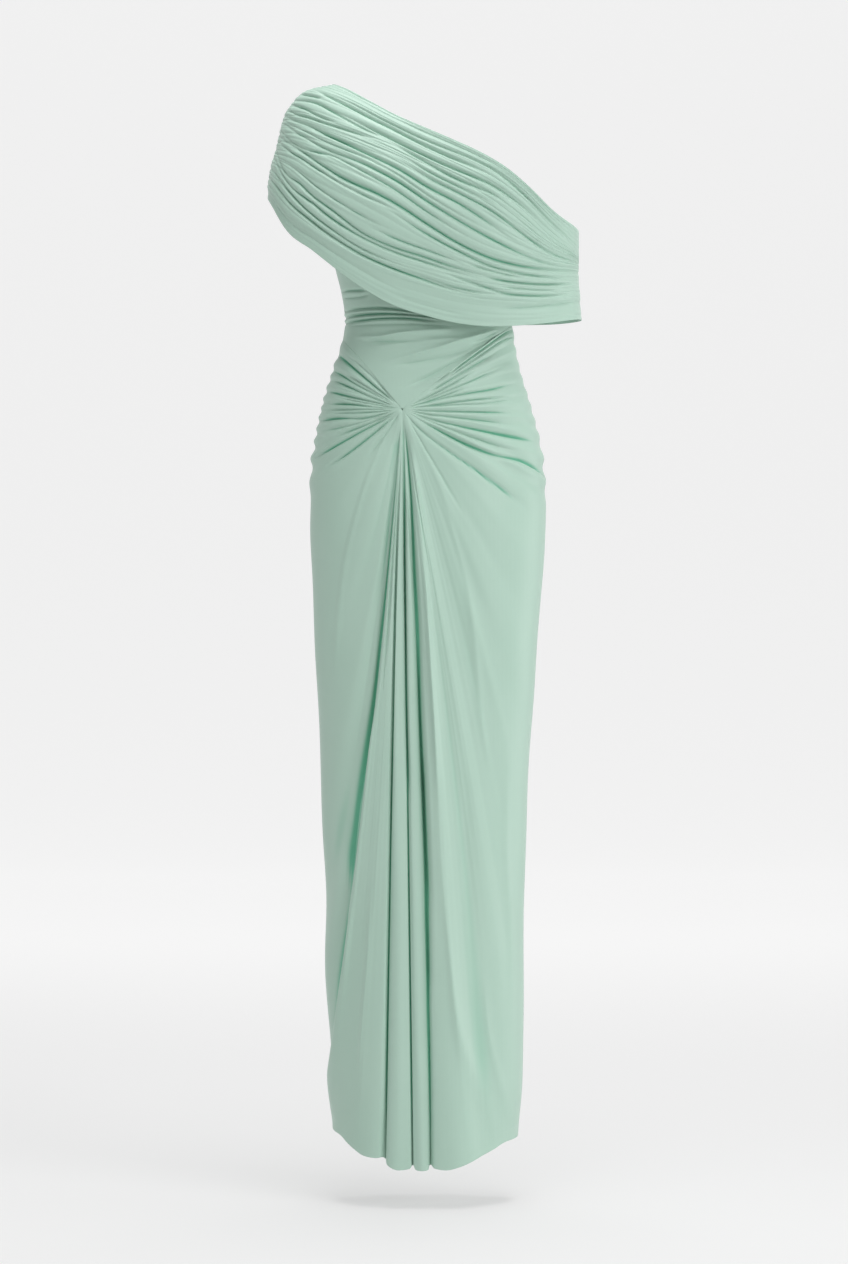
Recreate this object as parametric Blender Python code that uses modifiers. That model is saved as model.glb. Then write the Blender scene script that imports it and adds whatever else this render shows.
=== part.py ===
"""Off-shoulder maxi dress in draped jersey, as it hangs on a wearer, hollow and open.

It is modelled in the garment's own frame, in metres: X runs from the wearer's right side to the left,
Y from front to back and Z up from the lowest fold of the hem, with the body's centre line at X = 0.
An empty then carries every piece, so that the point where the shoulder holds the dress is the origin.
"""

import math

import bmesh
import bpy
import numpy as np

MM = 0.001

# The cloth, and how far apart two pieces stand along a seam.
WALL = 1.2 * MM
SEAM_GAP = 0.3 * MM
SEAM_LIFT = 0.45 * MM

# Where the top of the shoulder carries the drape, just inside its wall.
SHOULDER_REST = (-140 * MM, 0.0, 1446 * MM)

# The stitched point on the belly that all the gathers run to, and the small ring they start from.
GATHER_X = -34.6 * MM
GATHER_Z = 1011.6 * MM
GATHER_RING = 1.6 * MM
RING_FROM = math.radians(128)
RING_TO = math.radians(397)

# How far apart two gathers are before the cloth between them has room to stand up fully.
FOLD_ROOM = 5 * MM

# How square the plan of the body and of the drape is: 2 is an ellipse.
BODY_SQUARENESS = 2.2
DRAPE_SQUARENESS = 2.4

# Shares of the way along a gather, from the stitched point to its seam or to the hem.
GATHER_STEPS = (0, 0.04, 0.1, 0.18, 0.28, 0.39, 0.51, 0.63, 0.75, 0.87, 0.985, 1)

# Where along a gather its lift is stated, and the share of its middle lift that it has at the second.
LIFT_STEPS = (0, 0.2, 0.45, 1)
EARLY_LIFT = 0.45

# A gather is stepped round the body if it drops less than the first, and down it from the second on.
STEEP_FROM = 100 * MM
STEEP_TO = 450 * MM

JERSEY_COLOUR = (0.40, 0.64, 0.52, 1.0)
JERSEY_ROUGHNESS = 0.62

# Sections of the dressed figure, in mm: the side seams' places, and the depth before and behind them.
FIGURE_COLUMNS = ("height", "left", "right", "front", "back")
FIGURE = (
    (-10, -124, 119, 86, 78),
    (43, -126, 121, 87, 79),
    (97, -132, 126, 87, 80),
    (178, -135, 128, 86, 80),
    (353, -138, 130, 84, 82),
    (488, -143, 134, 84, 87),
    (623, -149, 142, 88, 95),
    (758, -155, 152, 94, 108),
    (866, -159, 159, 98, 119),
    (907, -159, 158, 98, 121),
    (961, -154, 153, 97, 118),
    (1015, -144, 140, 93, 107),
    (1069, -128, 124, 87, 94),
    (1109, -115, 116, 82, 83),
    (1136, -112, 113, 80, 78),
    (1163, -115, 116, 81, 76),
    (1205, -125, 122, 86, 76),
    (1245, -135, 131, 97, 78),
    (1292, -140, 139, 107, 80),
    (1352, -143, 144, 98, 82),
)

# Gathers that run from the stitched point to a side seam, in mm: the height where each ends, how far it
# bows towards the centre, and how far it stands out midway and at the seam. A negative lift is a trough.
RUCHE_COLUMNS = ("end", "bow", "lift_mid", "lift_end")
LEFT_RUCHES = (
    (1109, 0, 0.0, 0.0),
    (1100, 0, 1.6, 1.4),
    (1087, 0, -1.0, -0.8),
    (1077, 0, 1.8, 1.8),
    (1068, 0, -1.4, -1.0),
    (1061, 0, 1.8, 1.4),
    (1054, 0, -1.2, -1.0),
    (1046, 0, 2.0, 1.8),
    (1038, 0, -1.4, -1.0),
    (1031, 0, 1.6, 1.8),
    (1024, 0, -1.2, -0.8),
    (1018, 0, 1.4, 1.2),
    (1012, 0, -1.2, -0.8),
    (1005, 0, 1.6, 1.6),
    (998, 0, -1.2, -1.0),
    (990, 0, 1.8, 1.6),
    (982, 0, -1.4, -1.2),
    (973, 0, 2.0, 2.0),
    (963, 0, -1.6, -1.6),
    (950, 0, 2.2, 3.4),
    (936, 0, -1.6, -1.4),
    (918, 2, 2.2, 1.8),
    (895, 3, -1.6, -1.0),
    (850, 5, 1.0, 0.4),
    (780, 8, -1.2, -0.4),
    (690, 9, 1.8, 0.6),
    (590, 9, -1.6, -0.8),
    (460, 9, 2.2, 1.2),
    (360, 9, -1.0, -1.0),
    (262, 9, 2.4, 2.6),
    (150, 8, -3.0, -4.0),
    (118, 8, 6.5, 3.0),
    (43, 7, 8.0, 2.0),
)
RIGHT_RUCHES = (
    (33, -9, 6.0, 1.0),
    (110, -9, 4.0, 0.8),
    (220, -9, 1.6, 0.8),
    (330, -9, -0.8, -0.4),
    (440, -8, 1.0, 0.6),
    (540, -7, -0.6, -0.6),
    (630, -6, 1.2, 0.8),
    (710, -5, -1.2, -0.4),
    (790, -3, 0.8, 0.4),
    (850, -2, -1.8, -0.2),
    (886, -1, 2.2, 0.6),
    (905, 0, -2.4, -0.6),
    (920, 0, 2.4, 2.2),
    (936, 0, -2.0, -1.6),
    (950, 0, 2.4, 2.4),
    (966, 0, -1.8, -1.2),
    (980, 0, 2.0, 1.6),
    (991, 0, -1.6, -0.8),
    (1001, 0, 1.8, 1.2),
    (1011, 0, -1.2, -0.6),
    (1021, 0, 1.6, 1.0),
    (1030, 0, -1.0, -0.6),
    (1038, 0, 1.4, 1.0),
    (1047, 0, -1.0, -0.5),
    (1057, 0, 1.4, 0.8),
    (1066, 0, -1.0, -0.5),
    (1076, 0, 1.4, 0.8),
    (1086, 0, -1.2, -0.6),
    (1096, 0, 1.6, 1.0),
    (1105, 0, -1.2, -0.8),
    (1113, 0, 1.6, 1.2),
    (1121, 0, 1.2, 1.0),
    (1128, 0, 0.0, 0.0),
)

# Folds that hang from the stitched point to the hem, in mm: place and height on the hem, bow and lift.
HEM_FOLD_COLUMNS = ("across", "height", "bow", "lift_mid", "lift_end")
HEM_FOLDS = (
    (-115, 37, 6, 8.4, 4.0),
    (-104, 31, 4, 8.8, 7.0),
    (-92, 24, 2, 9.2, 11.0),
    (-78, 19, 0, 9.4, 15.0),
    (-66, 17, -2, 9.2, 17.0),
    (-61, 17, -3, 8.0, 12.5),
    (-57, 15, -3.2, 0.0, -1.0),
    (-54, 13, -3.2, 0.0, -1.0),
    (-50, 8, -3, 7.0, 12.5),
    (-36, 1, -2, 10.0, 22.0),
    (-22, 3, 0, 7.4, 17.0),
    (-18.6, 8, 0.4, 0.0, -1.0),
    (-15.8, 8, 0.8, 0.0, -1.0),
    (-12.6, 1, 2, 6.6, 15.0),
    (-6.5, 0, 4, 8.8, 19.0),
    (-0.5, 1, 7, 6.6, 15.0),
    (2.8, 8, 8.5, -1.5, -4.0),
    (6, 8, 9.5, -1.5, -4.0),
    (9.6, 3, 11, 7.0, 14.0),
    (22, 1, 12, 9.4, 19.0),
    (38, 5, 12, 10.0, 21.0),
    (53, 12, 12, 9.0, 17.0),
    (69, 20, 12, 6.5, 9.0),
    (86, 25, 12, 5.0, 4.0),
    (103, 30, 10, 5.6, 2.0),
)

# Soft folds down the back of the skirt: their angle from the centre back, and their height at the hem.
BACK_FOLD_COLUMNS = ("angle", "lift")
BACK_FOLDS = (
    (-90, 0.0),
    (-62, 2.5),
    (-42, -2.0),
    (-22, 4.5),
    (0, -2.0),
    (14, 4.0),
    (34, -2.0),
    (56, 3.0),
    (90, 0.0),
)

# The side gathers fade towards the centre back by this power, and the folds set in over this drop.
BACK_RUCHE_FADE = 3
BACK_FALL_FROM = 150 * MM
BACK_FALL_TO = 1000 * MM

# Tucks pressed across the waist of the bodice, in mm: height at the right side of the wearer, and lift.
TUCK_COLUMNS = ("height", "lift")
TUCKS = (
    (1131, 0.0),
    (1135, 1.6),
    (1138.6, -1.0),
    (1142.4, 1.8),
    (1146, -1.0),
    (1150, 1.8),
    (1154, -0.8),
    (1160, 0.0),
)
TUCK_RISE = 14 * MM
TUCK_RISE_WIDTH = 110 * MM
TUCK_FADE_WIDTH = 60 * MM

# The hidden top edge of the bodice, in mm: height against the place across the front or back.
BODICE_TOP_COLUMNS = ("across", "front", "back")
BODICE_TOP = (
    (-145, 1290, 1290),
    (-100, 1325, 1300),
    (-50, 1350, 1306),
    (0, 1358, 1306),
    (50, 1342, 1300),
    (100, 1315, 1290),
    (146, 1278, 1278),
)
BODICE_LOW_ROWS = (0.0, 0.36, 0.7)
BODICE_HIGH_ROWS = (0.16, 0.36, 0.58, 0.8, 1.0)
BODICE_BACK_ROWS = 10

# The bodice's front leans out to hang just inside the drape: over these heights, and within this width.
BODICE_MEETS_DRAPE = 1.8 * MM
LEAN_FROM_Z = 1215 * MM
LEAN_TO_Z = 1340 * MM
LEAN_WIDE = 70 * MM
LEAN_NARROW = 120 * MM

# The drape's flow lines, from the neckline to its lower edge, in mm: where each starts on the wearer's
# right, where it ends on the left, and its height at set shares of the way across the front.
FLOW_SHARES = (0, 0.06, 0.15, 0.27, 0.4, 0.5, 0.6, 0.7, 0.8, 0.9, 1)
FLOW_COLUMNS = ("across_strip", "from_x", "to_x", "heights")
FLOW = (
    (0.00, -128, 202, (1455, 1442, 1424, 1402, 1382, 1367, 1351, 1331, 1304, 1274, 1255)),
    (0.14, -166, 202, (1443, 1437, 1423, 1399, 1374, 1357, 1340, 1321, 1295, 1261, 1234)),
    (0.28, -188, 202, (1420, 1415, 1401, 1381, 1358, 1339, 1320, 1299, 1273, 1242, 1221)),
    (0.42, -196, 202, (1401, 1395, 1380, 1359, 1334, 1310, 1290, 1270, 1246, 1224, 1213)),
    (0.56, -204, 202, (1366, 1357, 1338, 1311, 1282, 1256, 1232, 1214, 1204, 1200, 1201)),
    (0.70, -211, 202, (1342, 1316, 1277, 1244, 1222, 1210, 1197, 1187, 1182, 1181, 1185)),
    (0.84, -215, 204, (1316, 1280, 1249, 1219, 1195, 1181, 1169, 1162, 1160, 1161, 1167)),
    (1.00, -217, 208, (1300, 1254, 1222, 1182, 1149, 1135, 1125, 1121, 1123, 1128, 1136)),
)

# How deep the drape stands before and behind the side seams, in mm, by height.
DRAPE_DEPTH_COLUMNS = ("height", "front", "back")
DRAPE_DEPTH = (
    (1100, 104, 90),
    (1150, 107, 91),
    (1200, 112, 93),
    (1250, 117, 94),
    (1290, 118, 94),
    (1330, 112, 92),
    (1365, 99, 86),
    (1400, 82, 76),
    (1430, 64, 62),
    (1445, 54, 54),
    (1465, 46, 46),
)

# Each bust lifts the drape a little: its place, how wide it is, and by how much.
BUST_X = (-82 * MM, 86 * MM)
BUST_Z = 1292 * MM
BUST_SPREAD = 44 * MM
BUST_LIFT = 6 * MM

# The back of the drape rides up between the arms by this much, in mm, so that the front hides its edge.
BACK_RISE_SHARES = (0, 0.06, 0.15, 0.4, 0.8, 1)
BACK_RISE = (0, 8, 14, 16, 12, 0)

# Pleats of the drape: the place of each trough across the strip, and how deep it is, in mm.
PLEAT_COLUMNS = ("trough", "depth")
PLEATS = (
    (0.050, 1.8),
    (0.125, 2.2),
    (0.168, 3.0),
    (0.235, 2.6),
    (0.268, 3.0),
    (0.308, 3.2),
    (0.360, 2.4),
    (0.408, 2.4),
    (0.442, 3.4),
    (0.482, 3.0),
    (0.515, 2.6),
    (0.565, 3.8),
    (0.603, 3.0),
    (0.655, 3.6),
    (0.690, 2.6),
    (0.722, 2.6),
    (0.755, 3.0),
    (0.792, 3.2),
    (0.830, 3.0),
    (0.868, 1.6),
)
PLEAT_SHARE_OUT = 0.55
BAND_STEPS = (0.915, 0.955, 0.99, 1.0)
BAND_LIFT = 0.6 * MM
PLEAT_FULLNESS_SHARES = (0.0, 0.12, 0.35, 0.7, 0.92, 1.0)
PLEAT_FULLNESS = (0.7, 0.95, 1.3, 1.25, 0.7, 0.5)

# How finely the drape's slope is measured, and how often its strip is halved to find a height on it.
SMALL_STEP = 1e-3
HALVINGS = 26

# Angles, in degrees, at which the drape's front and back are sampled from one side seam to the other.
DRAPE_FRONT_ANGLES = (-90, -88.5, -76, -62, -48, -34, -20, -7, 7, 20, 34, 48, 62, 76, 88.5, 90)
DRAPE_BACK_ANGLES = (-90, -88.5, -74, -54, -34, -12, 12, 34, 54, 74, 88.5, 90)
SKIRT_BACK_ANGLES = (-90, -88.5, -76, -62, -52, -42, -32, -22, 0, 14, 24, 34, 45, 56, 72, 88.5, 90)
BODICE_BACK_ANGLES = (-90, -88.5, -76, -60, -45, -30, -15, 0, 15, 30, 45, 60, 76, 88.5, 90)


def column(rows, names, name):
    """One named column of a table, as an array in metres where the table is in mm."""
    return np.array([row[names.index(name)] for row in rows], float)


def curve_through(x, knots, values):
    """A smooth curve through the knots, read at x: cubic pieces whose slopes follow their neighbours."""
    knots = np.asarray(knots, float)
    values = np.asarray(values, float)
    slopes = np.gradient(values, knots)
    x = np.clip(np.asarray(x, float), knots[0], knots[-1])
    i = np.clip(np.searchsorted(knots, x) - 1, 0, len(knots) - 2)
    width = knots[i + 1] - knots[i]
    t = (x - knots[i]) / width
    return (
        values[i] * (1 + 2 * t) * (1 - t) ** 2
        + values[i + 1] * t * t * (3 - 2 * t)
        + width * slopes[i] * t * (1 - t) ** 2
        - width * slopes[i + 1] * t * t * (1 - t)
    )


def smooth_step(x, low, high):
    """0 below low, 1 above high, and a soft rise between them."""
    t = np.clip((np.asarray(x, float) - low) / (high - low), 0, 1)
    return t * t * (3 - 2 * t)


def squared(wave, squareness):
    """A sine or cosine bent so that it draws a squarer plan than an ellipse."""
    return np.sign(wave) * np.abs(wave) ** (2 / squareness)


def figure_size(z, name):
    """A size of the dressed figure at the height z, in metres."""
    heights = column(FIGURE, FIGURE_COLUMNS, "height") * MM
    return curve_through(z, heights, column(FIGURE, FIGURE_COLUMNS, name) * MM)


def figure_middle(z):
    return (figure_size(z, "left") + figure_size(z, "right")) / 2


def figure_half_width(z):
    return (figure_size(z, "right") - figure_size(z, "left")) / 2


def body_point(angle, z, side, lift):
    """A point of the dressed figure. angle is -90 to 90 degrees between the side seams, in radians here;
    side is "front" or "back"; lift moves it straight out of the figure's plan."""
    half_width = figure_half_width(z)
    depth = figure_size(z, side)
    facing = -1 if side == "front" else 1
    across = squared(np.sin(angle), BODY_SQUARENESS)
    out = squared(np.abs(np.cos(angle)), BODY_SQUARENESS)
    normal_x = np.sign(across) * np.abs(across) ** (BODY_SQUARENESS - 1) / half_width
    normal_y = facing * out ** (BODY_SQUARENESS - 1) / depth
    length = np.hypot(normal_x, normal_y)
    x = figure_middle(z) + half_width * across + lift * normal_x / length
    y = facing * (depth * out + SEAM_GAP / 2) + lift * normal_y / length
    return np.stack([x, y, z + 0 * x], axis=-1)


def angle_at(x, z):
    """The angle at which the figure's front lies x across at the height z."""
    share = np.clip((x - figure_middle(z)) / figure_half_width(z), -1, 1)
    return np.arcsin(np.sign(share) * np.abs(share) ** (BODY_SQUARENESS / 2))


def share_across(angle):
    return squared(np.sin(angle), BODY_SQUARENESS)


def gather_lift(steps, lift_mid, lift_end):
    """How far a gather stands out along its length: nothing at the stitched point, then as stated."""
    return MM * curve_through(steps, LIFT_STEPS, (0, EARLY_LIFT * lift_mid, lift_mid, lift_end))


def gather_start(index, count):
    """Where gather number index leaves the small ring around the stitched point."""
    turn = RING_FROM + (RING_TO - RING_FROM) * index / (count - 1)
    return GATHER_X + GATHER_RING * math.cos(turn), GATHER_Z + GATHER_RING * math.sin(turn)


def ruche_line(start, row, seam, steps):
    """Angle, height and lift along a gather that ends on a side seam: seam is -1 on the wearer's right.
    Flat gathers are stepped evenly round the body, and steep ones evenly down it."""
    end, bow, lift_mid, lift_end = row
    start_x, start_z = start
    end_z = end * MM
    end_x = figure_middle(end_z) + seam * figure_half_width(end_z)
    start_angle = angle_at(start_x, start_z)
    start_share = share_across(start_angle)
    turned = share_across(start_angle + (seam * math.pi / 2 - start_angle) * steps)
    round_body = (turned - start_share) / (seam - start_share)
    steepness = smooth_step(start_z - end_z, STEEP_FROM, STEEP_TO)
    share = round_body + (steps - round_body) * steepness
    x = start_x + (end_x - start_x) * share - seam * bow * MM * 4 * share * (1 - share)
    z = start_z + (end_z - start_z) * share
    angle = angle_at(x, z)
    angle[-1] = seam * math.pi / 2
    return angle, z, gather_lift(steps, lift_mid, lift_end)


def hem_line(start, row, steps):
    """Angle, height and lift along a fold that hangs from the stitched point to the hem."""
    across, height, bow, lift_mid, lift_end = row
    start_x, start_z = start
    x = start_x + (across * MM - start_x) * steps + bow * MM * 4 * steps * (1 - steps)
    z = start_z + (height * MM - start_z) * steps
    return angle_at(x, z), z, gather_lift(steps, lift_mid, lift_end)


def gather_lines():
    """Every gather and fold of the skirt's front, from the V seam's right end round to its left end."""
    steps = np.array(GATHER_STEPS, float)
    count = len(LEFT_RUCHES) + len(HEM_FOLDS) + len(RIGHT_RUCHES)
    starts = [gather_start(index, count) for index in range(count)]
    lines = []
    for row in LEFT_RUCHES:
        lines.append(ruche_line(starts[len(lines)], row, -1, steps))
    for row in HEM_FOLDS:
        lines.append(hem_line(starts[len(lines)], row, steps))
    for row in RIGHT_RUCHES:
        lines.append(ruche_line(starts[len(lines)], row, 1, steps))
    angle, z, lift = np.array(lines).transpose(1, 0, 2)
    flat = body_point(angle, z, "front", 0)
    along = np.gradient(flat, axis=1)[1:-1]
    along /= np.linalg.norm(along, axis=-1, keepdims=True)
    between = (flat[2:] - flat[:-2]) / 2
    beside = between - along * np.sum(between * along, axis=-1, keepdims=True)
    lift[1:-1] *= np.clip(np.linalg.norm(beside, axis=-1) / FOLD_ROOM, 0, 1)
    return body_point(angle, z, "front", lift)


def skirt_front_points():
    return gather_lines()


def skirt_back_points():
    """The back of the skirt, in rows that start and end where the front's gathers meet the side seams."""
    angle = np.radians(SKIRT_BACK_ANGLES)
    across = (1 + share_across(angle)) / 2
    near_seam = np.abs(np.sin(angle)) ** BACK_RUCHE_FADE
    back_fold = curve_through(
        np.degrees(angle),
        column(BACK_FOLDS, BACK_FOLD_COLUMNS, "angle"),
        column(BACK_FOLDS, BACK_FOLD_COLUMNS, "lift") * MM,
    )
    rows = []
    for left, right in zip(LEFT_RUCHES, reversed(RIGHT_RUCHES)):
        z = MM * (left[0] + (right[0] - left[0]) * across)
        ruche = MM * (left[3] + (right[3] - left[3]) * across) * near_seam
        fall = smooth_step(GATHER_Z - z, BACK_FALL_FROM, BACK_FALL_TO)
        rows.append(body_point(angle, z, "back", ruche + back_fold * fall))
    return np.array(rows)


def skirt_back_halves():
    """The halves of the skirt's back on the wearer's right and left, a gap apart at the centre-back seam."""
    points = skirt_back_points()
    centre = SKIRT_BACK_ANGLES.index(0)
    right_half = points[:, : centre + 1].copy()
    left_half = points[:, centre:].copy()
    right_half[:, -1, 0] -= SEAM_GAP / 2
    left_half[:, 0, 0] += SEAM_GAP / 2
    return right_half, left_half


def drape_line_values(strip, name):
    """A size of the drape's flow lines, read between them at the place strip across the pleats."""
    places = column(FLOW, FLOW_COLUMNS, "across_strip")
    return curve_through(strip, places, column(FLOW, FLOW_COLUMNS, name) * MM)


def drape_height(strip, share):
    """The height of the drape at a place across the strip and a share of the way across the front."""
    places = column(FLOW, FLOW_COLUMNS, "across_strip")
    heights = np.array([row[FLOW_COLUMNS.index("heights")] for row in FLOW], float) * MM
    share = np.asarray(share, float)
    strip = np.asarray(strip, float) + 0 * share
    by_line = np.array([curve_through(share, FLOW_SHARES, line) for line in heights])
    flat = by_line.reshape(len(FLOW), -1)
    read = [curve_through(s, places, flat[:, i]) for i, s in enumerate(strip.ravel())]
    return np.array(read).reshape(share.shape)


def drape_depth(z, side):
    heights = column(DRAPE_DEPTH, DRAPE_DEPTH_COLUMNS, "height") * MM
    return curve_through(z, heights, column(DRAPE_DEPTH, DRAPE_DEPTH_COLUMNS, side) * MM)


def drape_base(angle, strip, side):
    """The drape with no pleats: the cloth stretched round the chest, the shoulder and both arms."""
    facing = -1 if side == "front" else 1
    across = squared(np.sin(angle), DRAPE_SQUARENESS)
    out = squared(np.abs(np.cos(angle)), DRAPE_SQUARENESS)
    share = (1 + across) / 2
    from_x = drape_line_values(strip, "from_x")
    x = from_x + (drape_line_values(strip, "to_x") - from_x) * share
    z = drape_height(strip, share)
    if side == "back":
        z = z + MM * curve_through(share, BACK_RISE_SHARES, BACK_RISE)
    depth = drape_depth(z, side)
    if side == "front":
        for bust_x in BUST_X:
            away = (x - bust_x) ** 2 + (z - BUST_Z) ** 2
            depth = depth + BUST_LIFT * np.exp(-away / (2 * BUST_SPREAD**2))
    return np.stack([x, facing * (depth * out + SEAM_GAP / 2), z], axis=-1)


def drape_normal(angle, strip, side):
    """The direction straight out of the unpleated drape."""
    turn = SMALL_STEP
    along = drape_base(angle + turn, strip, side) - drape_base(angle - turn, strip, side)
    down = drape_base(angle, strip + turn, side) - drape_base(angle, strip - turn, side)
    normal = np.cross(down, along) if side == "front" else np.cross(along, down)
    return normal / np.linalg.norm(normal, axis=-1, keepdims=True)


def pleat_rows():
    """(place across the strip, lift) of each ridge and trough of the drape, then of its plain band."""
    troughs = column(PLEATS, PLEAT_COLUMNS, "trough")
    depths = column(PLEATS, PLEAT_COLUMNS, "depth") * MM
    rows = [(0.0, 0.0)]
    for i, (trough, depth) in enumerate(zip(troughs, depths)):
        before = troughs[i - 1] if i else 0.0
        if i:
            height = PLEAT_SHARE_OUT * (depth + depths[i - 1]) / 2
            rows.append(((before + trough) / 2, height))
        rows.append((trough, -(1 - PLEAT_SHARE_OUT) * depth))
    rows.append(((troughs[-1] + BAND_STEPS[0]) / 2, BAND_LIFT))
    rows += [(strip, 0.0) for strip in BAND_STEPS]
    return rows


def drape_points(angles_deg, side):
    rows = pleat_rows()
    angle, strip = np.meshgrid(np.radians(angles_deg), [row[0] for row in rows])
    share = (1 + squared(np.sin(angle), DRAPE_SQUARENESS)) / 2
    fullness = curve_through(share, PLEAT_FULLNESS_SHARES, PLEAT_FULLNESS)
    lift = np.array([[row[1]] for row in rows]) * fullness
    return drape_base(angle, strip, side) + lift[..., None] * drape_normal(angle, strip, side)


def drape_inner_depth(x, z):
    """How far forward the inside of the drape's front is at x, z: found by halving the strip."""
    low = np.zeros_like(x)
    high = np.ones_like(x)
    for _ in range(HALVINGS):
        middle = (low + high) / 2
        from_x = drape_line_values(middle, "from_x")
        to_x = drape_line_values(middle, "to_x")
        share = np.clip((x - from_x) / (to_x - from_x), 0, 1)
        above = drape_height(middle, share) > z
        low = np.where(above, middle, low)
        high = np.where(above, high, middle)
    across = 2 * share - 1
    angle = np.arcsin(np.sign(across) * np.abs(across) ** (DRAPE_SQUARENESS / 2))
    deepest_trough = (1 - PLEAT_SHARE_OUT) * max(row[1] for row in PLEATS) * MM
    inside = WALL + deepest_trough * max(PLEAT_FULLNESS)
    return drape_base(angle, middle, "front")[..., 1] + inside


def bodice_top(x, side):
    across = column(BODICE_TOP, BODICE_TOP_COLUMNS, "across") * MM
    return curve_through(x, across, column(BODICE_TOP, BODICE_TOP_COLUMNS, side) * MM)


def bodice_front_points():
    """The bodice's front, from the V seam that the gathers hang on up to its hidden top edge."""
    lines = gather_lines()
    seam = np.concatenate([lines[0][::-1], lines[-1]])
    angle = angle_at(seam[:, 0], seam[:, 2])
    angle[0], angle[-1] = -math.pi / 2, math.pi / 2
    seam_z = seam[:, 2] + SEAM_LIFT
    top_z = bodice_top(seam[:, 0], "front")
    rise = TUCK_RISE * smooth_step(seam[:, 0], 0, TUCK_RISE_WIDTH)
    fade = 1 - smooth_step(seam[:, 0], 0, TUCK_FADE_WIDTH)
    heights = column(TUCKS, TUCK_COLUMNS, "height") * MM
    lifts = column(TUCKS, TUCK_COLUMNS, "lift") * MM
    rows = [(seam_z + (heights[0] + rise - seam_z) * share, 0 * rise) for share in BODICE_LOW_ROWS]
    rows += [(height + rise, lift * fade) for height, lift in zip(heights, lifts)]
    tuck_top = heights[-1] + rise
    rows += [(tuck_top + (top_z - tuck_top) * share, 0 * rise) for share in BODICE_HIGH_ROWS]
    grid = []
    for z, lift in rows:
        points = body_point(angle, z, "front", lift)
        limit = drape_inner_depth(points[:, 0], z) + BODICE_MEETS_DRAPE
        near_top = smooth_step(z, LEAN_FROM_Z, LEAN_TO_Z)
        centre = 1 - smooth_step(np.abs(points[:, 0]), LEAN_WIDE, LEAN_NARROW)
        points[:, 1] += (limit - points[:, 1]) * near_top * centre
        grid.append(points)
    return np.array(grid)


def bodice_back_points():
    angle = np.radians(BODICE_BACK_ANGLES)
    across = (1 + share_across(angle)) / 2
    low = MM * (LEFT_RUCHES[0][0] + (RIGHT_RUCHES[-1][0] - LEFT_RUCHES[0][0]) * across) + SEAM_LIFT
    x = figure_middle(low) + figure_half_width(low) * share_across(angle)
    high = bodice_top(x, "back")
    shares = np.linspace(0, 1, BODICE_BACK_ROWS)
    return np.array([body_point(angle, low + (high - low) * share, "back", 0) for share in shares])


def jersey(piece):
    """The mint jersey of one piece."""
    material = bpy.data.materials.new(piece + "_jersey")
    material.use_nodes = True
    shader = material.node_tree.nodes["Principled BSDF"]
    shader.inputs["Base Color"].default_value = JERSEY_COLOUR
    shader.inputs["Roughness"].default_value = JERSEY_ROUGHNESS
    shader.inputs["Metallic"].default_value = 0.0
    return material


def cloth_piece(name, points, facing, collection, carrier):
    """A wall of cloth: a grid laid over the points, then thickened inwards. facing is -1 or 1 in Y."""
    rows, columns = points.shape[:2]
    mesh = bpy.data.meshes.new(name)
    cloth = bmesh.new()
    bmesh.ops.create_grid(cloth, x_segments=columns - 1, y_segments=rows - 1, size=1)
    for vert in cloth.verts:
        across = round((vert.co.x + 1) / 2 * (columns - 1))
        down = round((vert.co.y + 1) / 2 * (rows - 1))
        vert.co = points[down, across]
    cloth.normal_update()
    outward = sum(face.normal.y * face.calc_area() for face in cloth.faces)
    if outward * facing < 0:
        bmesh.ops.reverse_faces(cloth, faces=cloth.faces)
    bmesh.ops.triangulate(cloth, faces=cloth.faces, quad_method="SHORT_EDGE")
    cloth.to_mesh(mesh)
    cloth.free()
    mesh.shade_smooth()
    mesh.materials.append(jersey(name))
    piece = bpy.data.objects.new(name, mesh)
    wall = piece.modifiers.new("wall", "SOLIDIFY")
    wall.thickness = WALL
    wall.offset = -1
    wall.use_even_offset = True
    piece.parent = carrier
    collection.objects.link(piece)
    return piece


def main():
    for obj in list(bpy.data.objects):
        bpy.data.objects.remove(obj, do_unlink=True)
    dress = bpy.data.collections.new("off_shoulder_maxi_dress")
    bpy.context.scene.collection.children.link(dress)
    carrier = bpy.data.objects.new("shoulder_rest", None)
    carrier.location = [-value for value in SHOULDER_REST]
    dress.objects.link(carrier)
    cloth_piece("skirt_front", skirt_front_points(), -1, dress, carrier)
    right_half, left_half = skirt_back_halves()
    cloth_piece("skirt_back_right", right_half, 1, dress, carrier)
    cloth_piece("skirt_back_left", left_half, 1, dress, carrier)
    cloth_piece("bodice_front", bodice_front_points(), -1, dress, carrier)
    cloth_piece("bodice_back", bodice_back_points(), 1, dress, carrier)
    cloth_piece("drape_front", drape_points(DRAPE_FRONT_ANGLES, "front"), -1, dress, carrier)
    cloth_piece("drape_back", drape_points(DRAPE_BACK_ANGLES, "back"), 1, dress, carrier)


main()
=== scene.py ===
# %% [markdown]
# # An off-shoulder maxi dress in mint jersey
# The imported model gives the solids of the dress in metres, with the shoulder's rest point at the origin.
# It is loaded first, so that every piece made here can be laid on it with no fitting.

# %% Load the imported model
import math

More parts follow.
